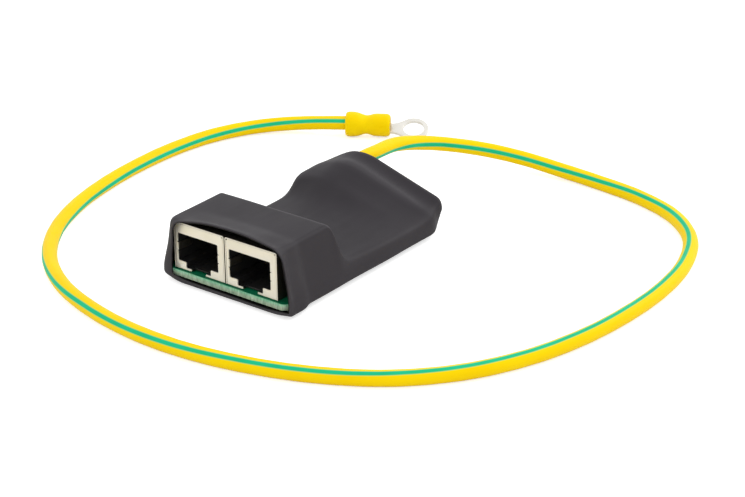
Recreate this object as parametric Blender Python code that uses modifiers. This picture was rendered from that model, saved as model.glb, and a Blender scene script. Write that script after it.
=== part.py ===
"""Ethernet surge protector: two shielded jacks on a board in a heat-shrunk sleeve, with its earth wire.

Sizes are in millimetres and become metres where a mesh is made. +X is to the right seen from
the sockets' side, +Y runs from the sockets to the back, +Z is up and z = 0 is the table.
The origin is under the middle of the sleeve.
"""

import math

import bmesh
import bpy
import numpy as np
from mathutils import Matrix, Vector

MM = 0.001

# Clearances between pieces that touch on the real object
SEAT = 0.25
CUT_PAST = 1.0  # how far a cutter runs past what it cuts

# Circuit board
BOARD_MARGIN = 3.05  # beside the jacks
BOARD_BEHIND = 41.1  # behind the jacks
BOARD_THICKNESS = 1.6
BOARD_CORNER = 2.2
BOARD_AHEAD = 0.6  # how far the board's front edge stands in front of the jacks
TAIL_OUT = 1.1  # solder tails below the board

# Heat-shrunk sleeve
WALL = 0.6
LIP_AHEAD = 1.9  # front rim in front of the jacks
LIP_BEHIND = 3.6  # rear rim behind the board
FILM_SLACK = 0.9  # behind the jacks

# Jacks
JACK_PITCH = 16.0
JACK_WIDTH = 15.7
JACK_HEIGHT = 12.0
JACK_DEPTH = 16.3
SHEET = 0.3
FOLD = 0.45  # outer radius of the shield's folds
OPENING_SHIFT = -0.45  # the plug opening sits a little to the left in each shield
OPENING_WIDTH = 12.5
OPENING_LOW = 2.0
OPENING_HIGH = 9.2
KEYWAY_WIDTH = 7.7
TOE_GAP = 4.5
TOE_HEIGHT = 0.5
TAIL_WIDTH = 1.6
TAIL_PLACES = (9.0, 11.8)  # left and right solder tail of a shield, behind its face
FINGER_LOW = 4.6
FINGER_HIGH = 6.6
FINGER_LENGTH = 5.6
FINGER_SHEET = 0.22
WINDOW_PLACE = (6.0, 5.0)  # front lower corner of the latch windows, behind the face and above the base
WINDOW_LENGTH = 3.0
WINDOW_HEIGHT = 3.0

# Jack housings
HOUSING_WIDTH = 14.5
HOUSING_BEHIND = 0.7  # room between the housing and the front row of contact legs
CAVITY_WALL = 1.4
PEG_DIAMETER = 3.2
PEG_SPREAD = 11.2
PEG_PLACE = 6.3
PEG_CLEARANCE = 0.3

# Contacts
CONTACTS = 8
CONTACT_PITCH = 1.02
CONTACT_WIRE = 0.36
CONTACT_DEPTH = 1.35  # the wire's run in its groove, below the housing's top
CONTACT_BEND = 3.7  # where the wire turns down and back, behind the face
TIP_AHEAD = 0.6  # the wire's free end, in front of the cavity's back wall
TIP_LEVEL = 6.7  # above the jack's base
GROOVE_CLEARANCE = 0.2
GROOVE_MOUTH = (3.0, 5.4)  # where the grooves open into the cavity
LEG_AHEAD = 0.9  # the rear row of legs, in front of the shield's back
LEG_STEP = 2.2  # between the two rows
TAIL_CLEARANCE = 0.3

# Low parts in the middle of the board
CHIP_HEIGHT = 1.9
CHIP_COLUMNS = (-13.5, -4.5, 4.5, 13.5)
DIODE_SIZE = (3.6, 4.4)
BRIDGE_SIZE = (4.7, 3.9)
BRIDGE_LEGS = 2.5  # pitch
LEAD_REACH = 0.9
LEAD_THICKNESS = 0.25
ROW_GAPS = (0.38, 0.195)  # the free board before the diodes and before the bridges, as shares of all of it

# Gas discharge tube
TUBE_DIAMETER = 6.0
TUBE_LENGTH = 8.0
TUBE_INSET = 0.7  # from the board's side edge
TUBE_REAR = 0.2  # from the board's rear edge
TUBE_LEG = 0.8

# Earth wire
CABLE_DIAMETER = 3.8
CORE_DIAMETER = 2.2
CABLE_X = -8.2
EXIT_HEIGHT = 12.3
SOLDER_SIZE = (2.3, 4.2, 2.7)  # half width, half length and height of the joint
MOUND_AHEAD = 0.9  # middle of the joint, in front of the middle of the bare core
STRIPPED_AHEAD = 12.4  # where the insulation ends over the board, in front of its rear edge
CORE_LENGTH = 6.5

# Ring terminal, along its own axis from the insulator's wire end
TERMINAL_PLACE = (-40.5, 67.0, 3.55)
TERMINAL_TURN = 33.2
TERMINAL_DIP = 0.9
TERMINAL_ROLL = 21.0
INSULATOR_LENGTH = 12.0
INSULATOR_MOUTH = 6.9  # diameter at the wire end
INSULATOR_WAIST = 5.3
INSULATOR_NOSE = 6.3
CABLE_IN_INSULATOR = 5.0
CABLE_LIFT = 0.25  # the wire lies this much above the axis in the insulator's mouth
BARREL_LENGTH = 6.0
BARREL_DIAMETER = 4.3
BARREL_WAIST = 3.9
BARREL_BORE = 2.9
TIP_OUT = 0.3  # conductor showing past the barrel
RING_DIAMETER = 8.1
RING_HOLE = 5.65
RING_NECK = 3.4
RING_FLARE = 54.0  # how far round the ring, from the neck's side, the neck's edges run into it
RING_REACH = 18.8  # from the insulator's wire end to the middle of the ring
RING_DROP = 1.2  # ring below the terminal's axis
RING_THICKNESS = 0.9

# Levels above the table
TAIL_LEVEL = WALL + SEAT
BOARD_BOTTOM = TAIL_LEVEL + TAIL_OUT
BOARD_TOP = BOARD_BOTTOM + BOARD_THICKNESS
JACK_BASE = BOARD_TOP + SEAT
JACK_TOP = JACK_BASE + JACK_HEIGHT

# Places across and along, with distances behind the jacks' faces
BOARD_WIDTH = JACK_PITCH + JACK_WIDTH + 2 * BOARD_MARGIN
BOARD_LENGTH = BOARD_AHEAD + JACK_DEPTH + BOARD_BEHIND
BOARD_HALF = BOARD_WIDTH / 2
BOARD_REAR = BOARD_LENGTH - BOARD_AHEAD
SLEEVE_REAR = BOARD_REAR + LIP_BEHIND
FACE_Y = -(SLEEVE_REAR - LIP_AHEAD) / 2  # the jacks' faces, with the sleeve's middle at y = 0
JACK_SIDES = (("left", -JACK_PITCH / 2), ("right", JACK_PITCH / 2))
TUBE_X = -(BOARD_HALF - TUBE_INSET - TUBE_DIAMETER / 2)
TUBE_MIDDLE = BOARD_REAR - TUBE_REAR - TUBE_LENGTH / 2
TUBE_LEVEL = BOARD_TOP + SEAT + TUBE_DIAMETER / 2
TUBE_LEGS = (-TUBE_LENGTH / 2 + 0.8, 0.0, TUBE_LENGTH / 2 - 0.8)
STRIPPED_END = BOARD_REAR - STRIPPED_AHEAD
CORE_END = STRIPPED_END - CORE_LENGTH
MOUND_ROW = (CORE_END + STRIPPED_END) / 2 - MOUND_AHEAD
DIODE_HALF = DIODE_SIZE[1] / 2 + LEAD_REACH
BRIDGE_HALF = BRIDGE_SIZE[1] / 2 + LEAD_REACH
FREE_BOARD = MOUND_ROW - SOLDER_SIZE[1] - JACK_DEPTH - 2 * (DIODE_HALF + BRIDGE_HALF)
DIODE_ROW = JACK_DEPTH + ROW_GAPS[0] * FREE_BOARD + DIODE_HALF
BRIDGE_ROW = DIODE_ROW + DIODE_HALF + ROW_GAPS[1] * FREE_BOARD + BRIDGE_HALF
HOUSING_TOP = JACK_HEIGHT - SHEET - SEAT
CONTACT_RUN = HOUSING_TOP - CONTACT_DEPTH
LEG_REAR = JACK_DEPTH - SHEET - LEG_AHEAD
LEG_ROWS = (LEG_REAR - LEG_STEP, LEG_REAR)
HOUSING_DEPTH = LEG_ROWS[0] - HOUSING_BEHIND
CAVITY_DEPTH = HOUSING_DEPTH - CAVITY_WALL
SHEET_MIDDLE = JACK_WIDTH / 2 - SHEET / 2

# The sleeve's outside where it lies tight on what is in it
EDGE = BOARD_HALF + SEAT + WALL
LOW = BOARD_BOTTOM - 0.3
HIGH = BOARD_TOP + 0.3
SIDE = JACK_PITCH / 2 + JACK_WIDTH / 2 + SEAT + WALL
ROOF = JACK_TOP + SEAT + WALL
ROOF_REAR = JACK_DEPTH + SEAT + WALL + FILM_SLACK
VALLEY = BOARD_TOP + CHIP_HEIGHT + 2 * SEAT + WALL
TUBE_ROOF = TUBE_LEVEL + TUBE_DIAMETER / 2 + SEAT + WALL
TUBE_SIDE = -TUBE_X + TUBE_DIAMETER / 2 + SEAT
CREST = EXIT_HEIGHT + CABLE_DIAMETER / 2 + SEAT + WALL

# The earth wire's middle outside the sleeve, as laid on the table; the first point stands behind the exit
CABLE_ROUTE = (
    (-8.5, 39.4, 12.09), (-9.0, 48.4, 11.13), (-7.3, 56.9, 9.20), (-3.1, 64.6, 7.15),
    (4.1, 71.2, 5.18), (13.0, 75.3, 3.54), (23.8, 76.9, 2.34), (35.8, 76.6, 1.92),
    (49.6, 74.4, 1.92), (62.5, 69.2, 1.92), (72.7, 59.7, 1.92), (79.0, 46.2, 1.92),
    (81.8, 31.5, 1.92), (82.1, 15.5, 1.92), (80.3, -0.4, 1.92), (76.0, -15.8, 1.92),
    (68.5, -29.9, 1.92), (57.6, -41.5, 1.92), (43.9, -49.8, 1.92), (28.9, -55.2, 1.92),
    (13.2, -58.1, 1.92), (-2.8, -58.2, 1.92), (-18.5, -55.5, 1.92), (-33.5, -50.0, 1.92),
    (-46.6, -40.9, 1.92), (-56.7, -28.5, 1.92), (-63.4, -14.0, 1.92), (-67.1, 0.5, 1.92),
    (-68.9, 15.4, 1.92), (-68.9, 29.4, 1.92), (-66.8, 42.2, 1.92), (-61.7, 52.9, 2.08),
    (-53.9, 60.6, 2.58),
)
CABLE_POINTS = 80


def new_collection(name):
    collection = bpy.data.collections.new(name)
    bpy.context.scene.collection.children.link(collection)
    return collection


def principled(name, colour, roughness, metallic=0.0):
    """One material with the piece's linear colour, roughness and metallic value."""
    made = bpy.data.materials.new(name)
    made.use_nodes = True
    shader = made.node_tree.nodes["Principled BSDF"]
    shader.inputs["Base Color"].default_value = (*colour, 1.0)
    shader.inputs["Roughness"].default_value = roughness
    shader.inputs["Metallic"].default_value = metallic
    made.diffuse_color = (*colour, 1.0)
    return made


def piece(name, data, material=None):
    """Adds mesh or curve data as a visible piece, or as a hidden helper where it has no material."""
    obj = bpy.data.objects.new(name, data)
    if material is None:
        helpers.objects.link(obj)
        obj.hide_render = True
        obj.display_type = "WIRE"
    else:
        parts.objects.link(obj)
        data.materials.append(material)
    return obj


def from_bmesh(name, bm, material=None):
    mesh = bpy.data.meshes.new(name)
    bm.to_mesh(mesh)
    bm.free()
    return piece(name, mesh, material)


def box(name, low, high, material=None):
    """A box between two corners, made round its own origin."""
    low = Vector(low)
    high = Vector(high)
    bm = bmesh.new()
    bmesh.ops.create_cube(bm, size=1.0)
    bmesh.ops.scale(bm, vec=(high - low) * MM, verts=bm.verts)
    obj = from_bmesh(name, bm, material)
    obj.location = (low + high) / 2 * MM
    return obj


def rod(name, radius, low, high, place, material=None, sides=16):
    """An upright cylinder at a place on the plan, between two levels."""
    bm = bmesh.new()
    bmesh.ops.create_cone(
        bm, cap_ends=True, segments=sides,
        radius1=radius * MM, radius2=radius * MM, depth=(high - low) * MM,
    )
    obj = from_bmesh(name, bm, material)
    obj.location = (place[0] * MM, place[1] * MM, (low + high) / 2 * MM)
    return obj


def outline_curve(name, outlines, thickness, material=None):
    """A flat sheet from a 2D curve: the first outline is its edge and the others are its holes."""
    curve = bpy.data.curves.new(name, "CURVE")
    curve.dimensions = "2D"
    curve.fill_mode = "BOTH"
    curve.extrude = thickness / 2 * MM
    for outline in outlines:
        spline = curve.splines.new("POLY")
        spline.points.add(len(outline) - 1)
        for point, (x, y) in zip(spline.points, outline):
            point.co = (x * MM, y * MM, 0.0, 1.0)
        spline.use_cyclic_u = True
    return piece(name, curve, material)


def circle_outline(place, diameter, sides=8):
    turns = [2 * math.pi * (i + 0.5) / sides for i in range(sides)]
    return [
        (place[0] + diameter / 2 * math.cos(turn), place[1] + diameter / 2 * math.sin(turn))
        for turn in turns
    ]


def rectangle_outline(low, high):
    return [(low[0], low[1]), (high[0], low[1]), (high[0], high[1]), (low[0], high[1])]


def rounded_rectangle(low, high, radius, steps=4):
    """A rectangle with quarter circles at its corners."""
    outline = []
    centres = (
        (high[0] - radius, high[1] - radius, 0),
        (low[0] + radius, high[1] - radius, 90),
        (low[0] + radius, low[1] + radius, 180),
        (high[0] - radius, low[1] + radius, 270),
    )
    for x, y, start in centres:
        for step in range(steps + 1):
            turn = math.radians(start + 90 * step / steps)
            outline.append((x + radius * math.cos(turn), y + radius * math.sin(turn)))
    return outline


def meshed(obj):
    """A curve object made into a mesh object of the same name and place, with its caps welded."""
    graph = bpy.context.evaluated_depsgraph_get()
    mesh = bpy.data.meshes.new_from_object(obj.evaluated_get(graph))
    bm = bmesh.new()
    bm.from_mesh(mesh)
    bmesh.ops.remove_doubles(bm, verts=bm.verts, dist=1e-7)
    bm.to_mesh(mesh)
    bm.free()
    name = obj.name
    made = bpy.data.objects.new(name, mesh)
    for collection in obj.users_collection:
        collection.objects.link(made)
    made.matrix_world = obj.matrix_world.copy()
    made.parent = obj.parent
    made.matrix_local = obj.matrix_local.copy()
    made.hide_render = obj.hide_render
    made.display_type = obj.display_type
    bpy.data.objects.remove(obj)
    made.name = name
    return made


def combine(obj, other, operation):
    """Cuts, or joins, another closed mesh object on this one."""
    modifier = obj.modifiers.new(f"{operation.lower()} {other.name}", "BOOLEAN")
    modifier.operation = operation
    modifier.solver = "EXACT"
    modifier.object = other


def turned(name, profile, material=None, steps=24):
    """A solid of revolution round its own Z axis, from (radius, height) points down its outer side."""
    mesh = bpy.data.meshes.new(name)
    closed = profile[0][0] > 0
    points = [(radius * MM, 0.0, height * MM) for radius, height in profile]
    edges = [(i, i + 1) for i in range(len(points) - 1)]
    if closed:
        edges.append((len(points) - 1, 0))
    mesh.from_pydata(points, edges, [])
    obj = piece(name, mesh, material)
    screw = obj.modifiers.new("turn", "SCREW")
    screw.steps = steps
    screw.render_steps = steps
    screw.use_merge_vertices = True
    screw.merge_threshold = 1e-6
    screw.use_smooth_shade = True
    return obj


def wire(name, path, diameter, material, bevel_resolution=1):
    """A round wire with flat ends along the points of a path."""
    curve = bpy.data.curves.new(name, "CURVE")
    curve.dimensions = "3D"
    curve.bevel_depth = diameter / 2 * MM
    curve.bevel_resolution = bevel_resolution
    curve.use_fill_caps = True
    spline = curve.splines.new("POLY")
    spline.points.add(len(path) - 1)
    for point, place in zip(spline.points, path):
        point.co = (*(Vector(place) * MM), 1.0)
    return piece(name, curve, material)


def ribbon_outline(path, thickness):
    """Both sides of a thin strip that follows a path on the plane."""
    points = np.array(path)
    along = np.gradient(points, axis=0)
    along /= np.linalg.norm(along, axis=1)[:, None]
    aside = np.column_stack((-along[:, 1], along[:, 0])) * thickness / 2
    return [tuple(p) for p in points + aside] + [tuple(p) for p in (points - aside)[::-1]]


def smooth_path(route, count):
    """Evenly spaced points on a smooth curve through the route's points."""
    route = np.array(route, float)
    chord = np.sqrt(np.linalg.norm(np.diff(route, axis=0), axis=1))
    knots = np.concatenate(([0.0], np.cumsum(chord)))
    slopes = np.gradient(route, knots, axis=0)
    fine = np.linspace(0.0, knots[-1], 40 * len(route))
    span = np.clip(np.searchsorted(knots, fine, "right") - 1, 0, len(knots) - 2)
    width = knots[span + 1] - knots[span]
    t = ((fine - knots[span]) / width)[:, None]
    width = width[:, None]
    curve = (
        (2 * t**3 - 3 * t**2 + 1) * route[span]
        + (t**3 - 2 * t**2 + t) * width * slopes[span]
        + (3 * t**2 - 2 * t**3) * route[span + 1]
        + (t**3 - t**2) * width * slopes[span + 1]
    )
    run = np.concatenate(([0.0], np.cumsum(np.linalg.norm(np.diff(curve, axis=0), axis=1))))
    even = np.linspace(0.0, run[-1], count)
    return np.column_stack([np.interp(even, run, curve[:, axis]) for axis in range(3)])


def section(left_y, right_y, left, right, reach):
    """One station of the sleeve. Each side has foot, low, high, shoulder and crown as (out, level)."""
    return {
        "ends": np.array((left_y, right_y), float),
        "corners": np.array(list(right) + [(-x, z) for x, z in reversed(left)], float),
        "reach": np.array(list(reach) + list(reversed(reach)), float),
    }


def sleeve_sections():
    """The sleeve's outside from front rim to rear rim, at distances behind the jacks' faces."""
    tight = (1.6, 0.8, 0.8, 1.1, 4.0)
    slope = (1.6, 0.8, 1.0, 1.6, 3.0)
    round_tube = (1.6, 0.8, 1.0, 3.6, 3.0)
    edge = ((EDGE, LOW), (EDGE, HIGH))
    drawn_edge = ((EDGE, LOW - 0.25), (EDGE, HIGH))
    front = [
        section(
            -LIP_AHEAD, 0.7 - LIP_AHEAD,
            ((EDGE - 7.75, 1.6), (EDGE - 4.2, LOW + 0.7), (EDGE - 3.9, HIGH + 1.2),
             (SIDE - 1.8, ROOF + 0.1), (SIDE - 12.2, ROOF + 2.4)),
            ((EDGE - 5.7, 1.1), (EDGE + 0.9, LOW + 0.1), (EDGE + 1.1, HIGH + 4.0),
             (SIDE + 2.0, ROOF + 0.9), (SIDE - 9.4, ROOF + 2.5)),
            (3.0, 0.9, 3.0, 3.4, 5.0),
        ),
        section(
            1.0 - LIP_AHEAD, 1.5 - LIP_AHEAD,
            ((EDGE - 5.7, 0.45), (EDGE - 1.3, LOW + 0.0), (EDGE - 1.3, HIGH),
             (SIDE - 1.1, ROOF - 0.2), (SIDE - 12.2, ROOF + 2.1)),
            ((EDGE - 4.7, 0.3), (EDGE + 0.9, LOW - 0.6), (EDGE + 0.9, HIGH + 1.5),
             (SIDE + 1.6, ROOF + 0.6), (SIDE - 8.5, ROOF + 2.3)),
            (2.0, 0.9, 1.2, 2.6, 5.0),
        ),
        section(
            0.0, 0.5,
            ((EDGE - 4.0, 0.0), (EDGE + 0.1, LOW - 0.2), (EDGE, HIGH - 0.1),
             (SIDE + 0.05, ROOF), (SIDE - 11.7, ROOF + 1.5)),
            ((EDGE - 2.6, 0.0), (EDGE + 0.7, LOW - 0.6), (EDGE + 0.8, HIGH),
             (SIDE + 0.9, ROOF + 0.4), (SIDE - 7.7, ROOF + 1.9)),
            (1.6, 0.9, 0.9, 1.5, 5.0),
        ),
        section(
            4.4, 5.2,
            ((EDGE - 3.4, 0.0), *edge, (SIDE, ROOF), (SIDE - 10.7, ROOF + 0.7)),
            ((EDGE - 1.9, 0.0), (EDGE + 0.6, LOW - 0.6), (EDGE + 0.5, HIGH),
             (SIDE + 0.3, ROOF + 0.1), (SIDE - 8.2, ROOF + 0.8)),
            tight,
        ),
    ]
    # From here both sides share a shoulder: how far behind, foot, shoulder, the two crowns and the reach
    shared = [
        (7.0, 3.0, (SIDE, ROOF), ROOF + 0.3, tight),
        (ROOF_REAR - 0.3, 3.2, (SIDE, ROOF + 0.15), ROOF + 0.2, tight),
        (ROOF_REAR + 0.7, 3.3, (SIDE + 0.3, ROOF - 0.6), ROOF - 0.5, tight),
        (ROOF_REAR + 1.5, 3.4, (SIDE + 1.1, ROOF - 3.8), ROOF - 4.0, slope),
        (ROOF_REAR + 2.7, 3.6, (SIDE + 1.7, VALLEY + 2.4), VALLEY + 2.2, slope),
        (ROOF_REAR + 4.7, 3.8, (EDGE - 1.25, VALLEY + 0.3), VALLEY + 0.6, slope),
        (ROOF_REAR + 9.0, 3.8, (EDGE - 1.35, VALLEY - 0.15), VALLEY + 0.25, slope),
    ]
    middle = [
        section(
            y, y,
            ((EDGE - foot, 0.0), *drawn_edge, shoulder, (SIDE - 10.7, crown)),
            ((EDGE - foot, 0.0), *drawn_edge, shoulder, (SIDE - 8.7, crown)),
            reach,
        )
        for y, foot, shoulder, crown, reach in shared
    ]
    # Behind the valley the film climbs over the gas tube at the left and over the earth wire
    climbing = [
        (-25.0, (EDGE - 1.45, VALLEY - 0.35), (-CABLE_X, VALLEY + 0.3),
         (EDGE - 1.05, VALLEY - 0.5), (SIDE - 10.7, VALLEY + 0.2), slope),
        (-19.0, (EDGE - 1.55, VALLEY - 0.2), (-CABLE_X, VALLEY + 1.3),
         (EDGE - 1.05, VALLEY - 0.7), (5.0, VALLEY + 0.8), slope),
        (-16.0, (EDGE - 1.65, VALLEY + 0.6), (0.8 - CABLE_X, VALLEY + 2.6),
         (EDGE - 1.05, VALLEY - 0.7), (1.5, VALLEY + 2.1), slope),
        (-13.2, (TUBE_SIDE - 0.3, VALLEY + 2.7), (1.0 - CABLE_X, VALLEY + 4.5),
         (EDGE - 1.05, VALLEY - 0.7), (-1.0, VALLEY + 3.9), slope),
        (-11.6, (TUBE_SIDE, TUBE_ROOF), (1.3 - CABLE_X, TUBE_ROOF + 1.4),
         (EDGE - 1.05, VALLEY - 0.6), (-2.5, TUBE_ROOF + 0.5), round_tube),
        (-8.0, (TUBE_SIDE, TUBE_ROOF + 0.3), (1.3 - CABLE_X, CREST - 1.7),
         (EDGE - 1.05, VALLEY - 0.3), (-4.0, CREST - 1.9), round_tube),
        (-5.0, (TUBE_SIDE, TUBE_ROOF + 0.8), (1.3 - CABLE_X, CREST - 0.8),
         (EDGE - 0.9, VALLEY + 0.2), (-4.5, CREST - 0.7), round_tube),
    ]
    hump = [
        section(
            SLEEVE_REAR + y, SLEEVE_REAR + y,
            ((EDGE - 3.8, 0.0), *drawn_edge, left_shoulder, left_crown),
            ((EDGE - 3.8, 0.0), *drawn_edge, right_shoulder, right_crown),
            reach,
        )
        for y, left_shoulder, left_crown, right_shoulder, right_crown, reach in climbing
    ]
    back = [
        section(
            SLEEVE_REAR - 2.7, SLEEVE_REAR - 2.7,
            ((EDGE - 4.75, 0.4), (EDGE - 1.05, LOW + 0.2), (EDGE - 1.05, HIGH + 0.4),
             (TUBE_SIDE - 0.9, TUBE_ROOF + 0.6), (1.3 - CABLE_X, CREST - 0.7)),
            ((EDGE - 5.75, 0.5), (EDGE - 1.15, LOW + 0.4), (EDGE - 1.15, HIGH + 0.5),
             (EDGE - 1.95, VALLEY + 0.6), (-4.5, CREST - 0.8)),
            slope,
        ),
        section(
            SLEEVE_REAR, SLEEVE_REAR,
            ((EDGE - 6.75, 3.2), (EDGE - 1.75, LOW + 3.0), (EDGE - 2.0, HIGH + 2.3),
             (TUBE_SIDE - 4.0, TUBE_ROOF + 1.9), (1.6 - CABLE_X, CREST - 0.1)),
            ((EDGE - 6.75, 3.4), (EDGE - 1.85, LOW + 3.5), (EDGE - 1.45, HIGH + 2.3),
             (EDGE - 2.15, VALLEY + 1.9), (-4.5, CREST + 0.1)),
            (1.6, 0.9, 0.9, 1.6, 3.0),
        ),
    ]
    return front + middle + hump + back


def ring_points(corners, reach, arc_steps, side_steps):
    """A closed outline with each corner rounded by a parabola that starts its reach away."""
    count = len(corners)
    points = []
    starts = []
    ends = []
    for i in range(count):
        before = corners[i - 1] - corners[i]
        after = corners[(i + 1) % count] - corners[i]
        back = np.linalg.norm(before)
        ahead = np.linalg.norm(after)
        starts.append(corners[i] + before / back * min(reach[i], 0.45 * back))
        ends.append(corners[i] + after / ahead * min(reach[i], 0.45 * ahead))
    for i in range(count):
        for step in range(arc_steps + 1):
            t = step / arc_steps
            points.append((1 - t) ** 2 * starts[i] + 2 * t * (1 - t) * corners[i] + t**2 * ends[i])
        for step in range(1, side_steps):
            t = step / side_steps
            points.append(ends[i] * (1 - t) + starts[(i + 1) % count] * t)
    return np.array(points)


def monotone_slopes(values):
    """Slopes for a curve through values that never swings past them."""
    step = np.diff(values, axis=0)
    slope = np.zeros_like(values)
    before = step[:-1]
    after = step[1:]
    same = before * after > 0
    slope[1:-1] = np.where(same, 2 * before * after / np.where(same, before + after, 1.0), 0.0)
    slope[0] = step[0]
    slope[-1] = step[-1]
    return slope


def loft_rings(sections, steps_between, arc_steps=2, side_steps=2):
    """Rings of points on the sleeve, with the given number of rings from each station to the next."""
    keys = ("ends", "corners", "reach")
    values = {key: np.array([station[key] for station in sections]) for key in keys}
    slopes = {key: monotone_slopes(values[key]) for key in keys}
    rings = []
    for i, steps in enumerate(steps_between):
        for step in range(steps + (i == len(steps_between) - 1)):
            t = step / steps
            now = {
                key: (2 * t**3 - 3 * t**2 + 1) * values[key][i]
                + (t**3 - 2 * t**2 + t) * slopes[key][i]
                + (3 * t**2 - 2 * t**3) * values[key][i + 1]
                + (t**3 - t**2) * slopes[key][i + 1]
                for key in keys
            }
            outline = ring_points(now["corners"], now["reach"], arc_steps, side_steps)
            share = np.clip(outline[:, 0] / (2 * EDGE) + 0.5, 0, 1)
            y = FACE_Y + now["ends"][0] * (1 - share) + now["ends"][1] * share
            rings.append(np.column_stack((outline[:, 0], y, outline[:, 1])))
    return rings


def make_sleeve():
    """The sleeve is one shrunk tube: a loft of rounded sections, thickened inwards."""
    sections = sleeve_sections()
    steps = [1, 2, 2, 1, 2, 1, 1, 1, 2, 2, 2, 2, 1, 1, 1, 1, 1, 2, 2]
    rings = loft_rings(sections, steps)
    bm = bmesh.new()
    loops = [[bm.verts.new(point * MM) for point in ring] for ring in rings]
    around = len(loops[0])
    for first, second in zip(loops, loops[1:]):
        for i in range(around):
            j = (i + 1) % around
            bm.faces.new((first[i], first[j], second[j], second[i]))
    bmesh.ops.recalc_face_normals(bm, faces=bm.faces)
    for face in bm.faces:
        face.smooth = True
    sleeve = from_bmesh("heat_shrink_sleeve", bm, black_sleeve)
    wall = sleeve.modifiers.new("wall", "SOLIDIFY")
    wall.thickness = WALL * MM
    wall.offset = -1.0
    wall.use_even_offset = True
    return sleeve


def contact_x(jack_x, number):
    return jack_x + OPENING_SHIFT + (number - (CONTACTS - 1) / 2) * CONTACT_PITCH


def make_board():
    """The board's outline, with a hole for each contact, peg and tube leg and a slot for each tail."""
    outlines = [
        rounded_rectangle(
            (-BOARD_HALF, FACE_Y - BOARD_AHEAD), (BOARD_HALF, FACE_Y + BOARD_REAR), BOARD_CORNER
        )
    ]
    for _, jack_x in JACK_SIDES:
        for number in range(CONTACTS):
            place = (contact_x(jack_x, number), FACE_Y + LEG_ROWS[number % 2])
            outlines.append(circle_outline(place, CONTACT_WIRE + 2 * TAIL_CLEARANCE, 6))
        for hand, tail in zip((-1, 1), TAIL_PLACES):
            place = (jack_x + hand * PEG_SPREAD / 2, FACE_Y + PEG_PLACE)
            outlines.append(circle_outline(place, PEG_DIAMETER + 2 * PEG_CLEARANCE, 12))
            x = jack_x + hand * SHEET_MIDDLE
            half = SHEET / 2 + SEAT
            outlines.append(
                rectangle_outline(
                    (x - half, FACE_Y + tail - SEAT), (x + half, FACE_Y + tail + TAIL_WIDTH + SEAT)
                )
            )
    for leg in TUBE_LEGS:
        place = (TUBE_X, FACE_Y + TUBE_MIDDLE + leg)
        outlines.append(circle_outline(place, TUBE_LEG + 2 * TAIL_CLEARANCE, 8))
    board = outline_curve("circuit_board", outlines, BOARD_THICKNESS, board_green)
    board.location.z = (BOARD_BOTTOM + BOARD_TOP) / 2 * MM
    return board


def opening_outline():
    """The plug opening in a shield's face, with its keyway down to the toes."""
    key = KEYWAY_WIDTH / 2
    half = OPENING_WIDTH / 2
    gap = TOE_GAP / 2
    right = [
        (gap, -CUT_PAST), (gap, TOE_HEIGHT), (key, TOE_HEIGHT),
        (key, OPENING_LOW), (half, OPENING_LOW), (half, OPENING_HIGH),
    ]
    return right + [(-x, z) for x, z in reversed(right)]


def make_shield(name, jack_x):
    """One folded sheet: top, back, two sides and a face, open below, with tails and spring fingers."""
    bm = bmesh.new()
    bmesh.ops.create_cube(bm, size=1.0)
    bmesh.ops.scale(bm, vec=Vector((JACK_WIDTH, JACK_DEPTH, JACK_HEIGHT)) * MM, verts=bm.verts)
    bottom = [face for face in bm.faces if face.normal.z < -0.5]
    bmesh.ops.delete(bm, geom=bottom, context="FACES_ONLY")
    folds = [edge for edge in bm.edges if len(edge.link_faces) == 2]
    bmesh.ops.bevel(
        bm, geom=folds, offset=FOLD * MM, segments=2, profile=0.5, affect="EDGES"
    )
    shield = from_bmesh(name, bm, tinned_sheet)
    shield.location = Vector((jack_x, FACE_Y + JACK_DEPTH / 2, JACK_BASE + JACK_HEIGHT / 2)) * MM
    sheet = shield.modifiers.new("sheet", "SOLIDIFY")
    sheet.thickness = SHEET * MM
    sheet.offset = -1.0
    sheet.use_even_offset = True

    middle = jack_x + OPENING_SHIFT
    opening = outline_curve(f"{name} opening cutter", [opening_outline()], 2 * CUT_PAST)
    opening.rotation_euler.x = math.radians(90)
    opening.location = Vector((middle, FACE_Y, JACK_BASE)) * MM
    bpy.context.view_layer.update()
    combine(shield, meshed(opening), "DIFFERENCE")

    y, z = WINDOW_PLACE
    window = box(
        f"{name} window cutter",
        (jack_x - JACK_WIDTH / 2 - CUT_PAST, FACE_Y + y, JACK_BASE + z),
        (jack_x + JACK_WIDTH / 2 + CUT_PAST, FACE_Y + y + WINDOW_LENGTH, JACK_BASE + z + WINDOW_HEIGHT),
    )
    combine(shield, window, "DIFFERENCE")

    for hand, side, tail in zip((-1, 1), ("left", "right"), TAIL_PLACES):
        x = jack_x + hand * SHEET_MIDDLE
        strip = box(
            f"{name} {side} tail",
            (x - SHEET / 2, FACE_Y + tail, TAIL_LEVEL),
            (x + SHEET / 2, FACE_Y + tail + TAIL_WIDTH, JACK_BASE + TOE_HEIGHT),
        )
        combine(shield, strip, "UNION")
        combine(shield, make_finger(f"{name} {side} finger", middle, hand), "UNION")
    return shield


def make_finger(name, middle, hand):
    """A spring finger bent in from the side of the opening, to press on the plug's shield."""
    edge = OPENING_WIDTH / 2
    path = [
        (hand * (edge + 0.2), 0.14), (hand * (edge - 0.05), 0.16), (hand * (edge - 0.28), 0.5),
        (hand * (edge - 0.5), 1.6), (hand * (edge - 0.75), 3.6), (hand * (edge - 0.65), 4.4),
        (hand * (edge - 0.35), FINGER_LENGTH),
    ]
    finger = outline_curve(name, [ribbon_outline(path, FINGER_SHEET)], FINGER_HIGH - FINGER_LOW)
    finger.location = Vector((middle, FACE_Y, JACK_BASE + (FINGER_LOW + FINGER_HIGH) / 2)) * MM
    bpy.context.view_layer.update()
    return meshed(finger)


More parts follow.
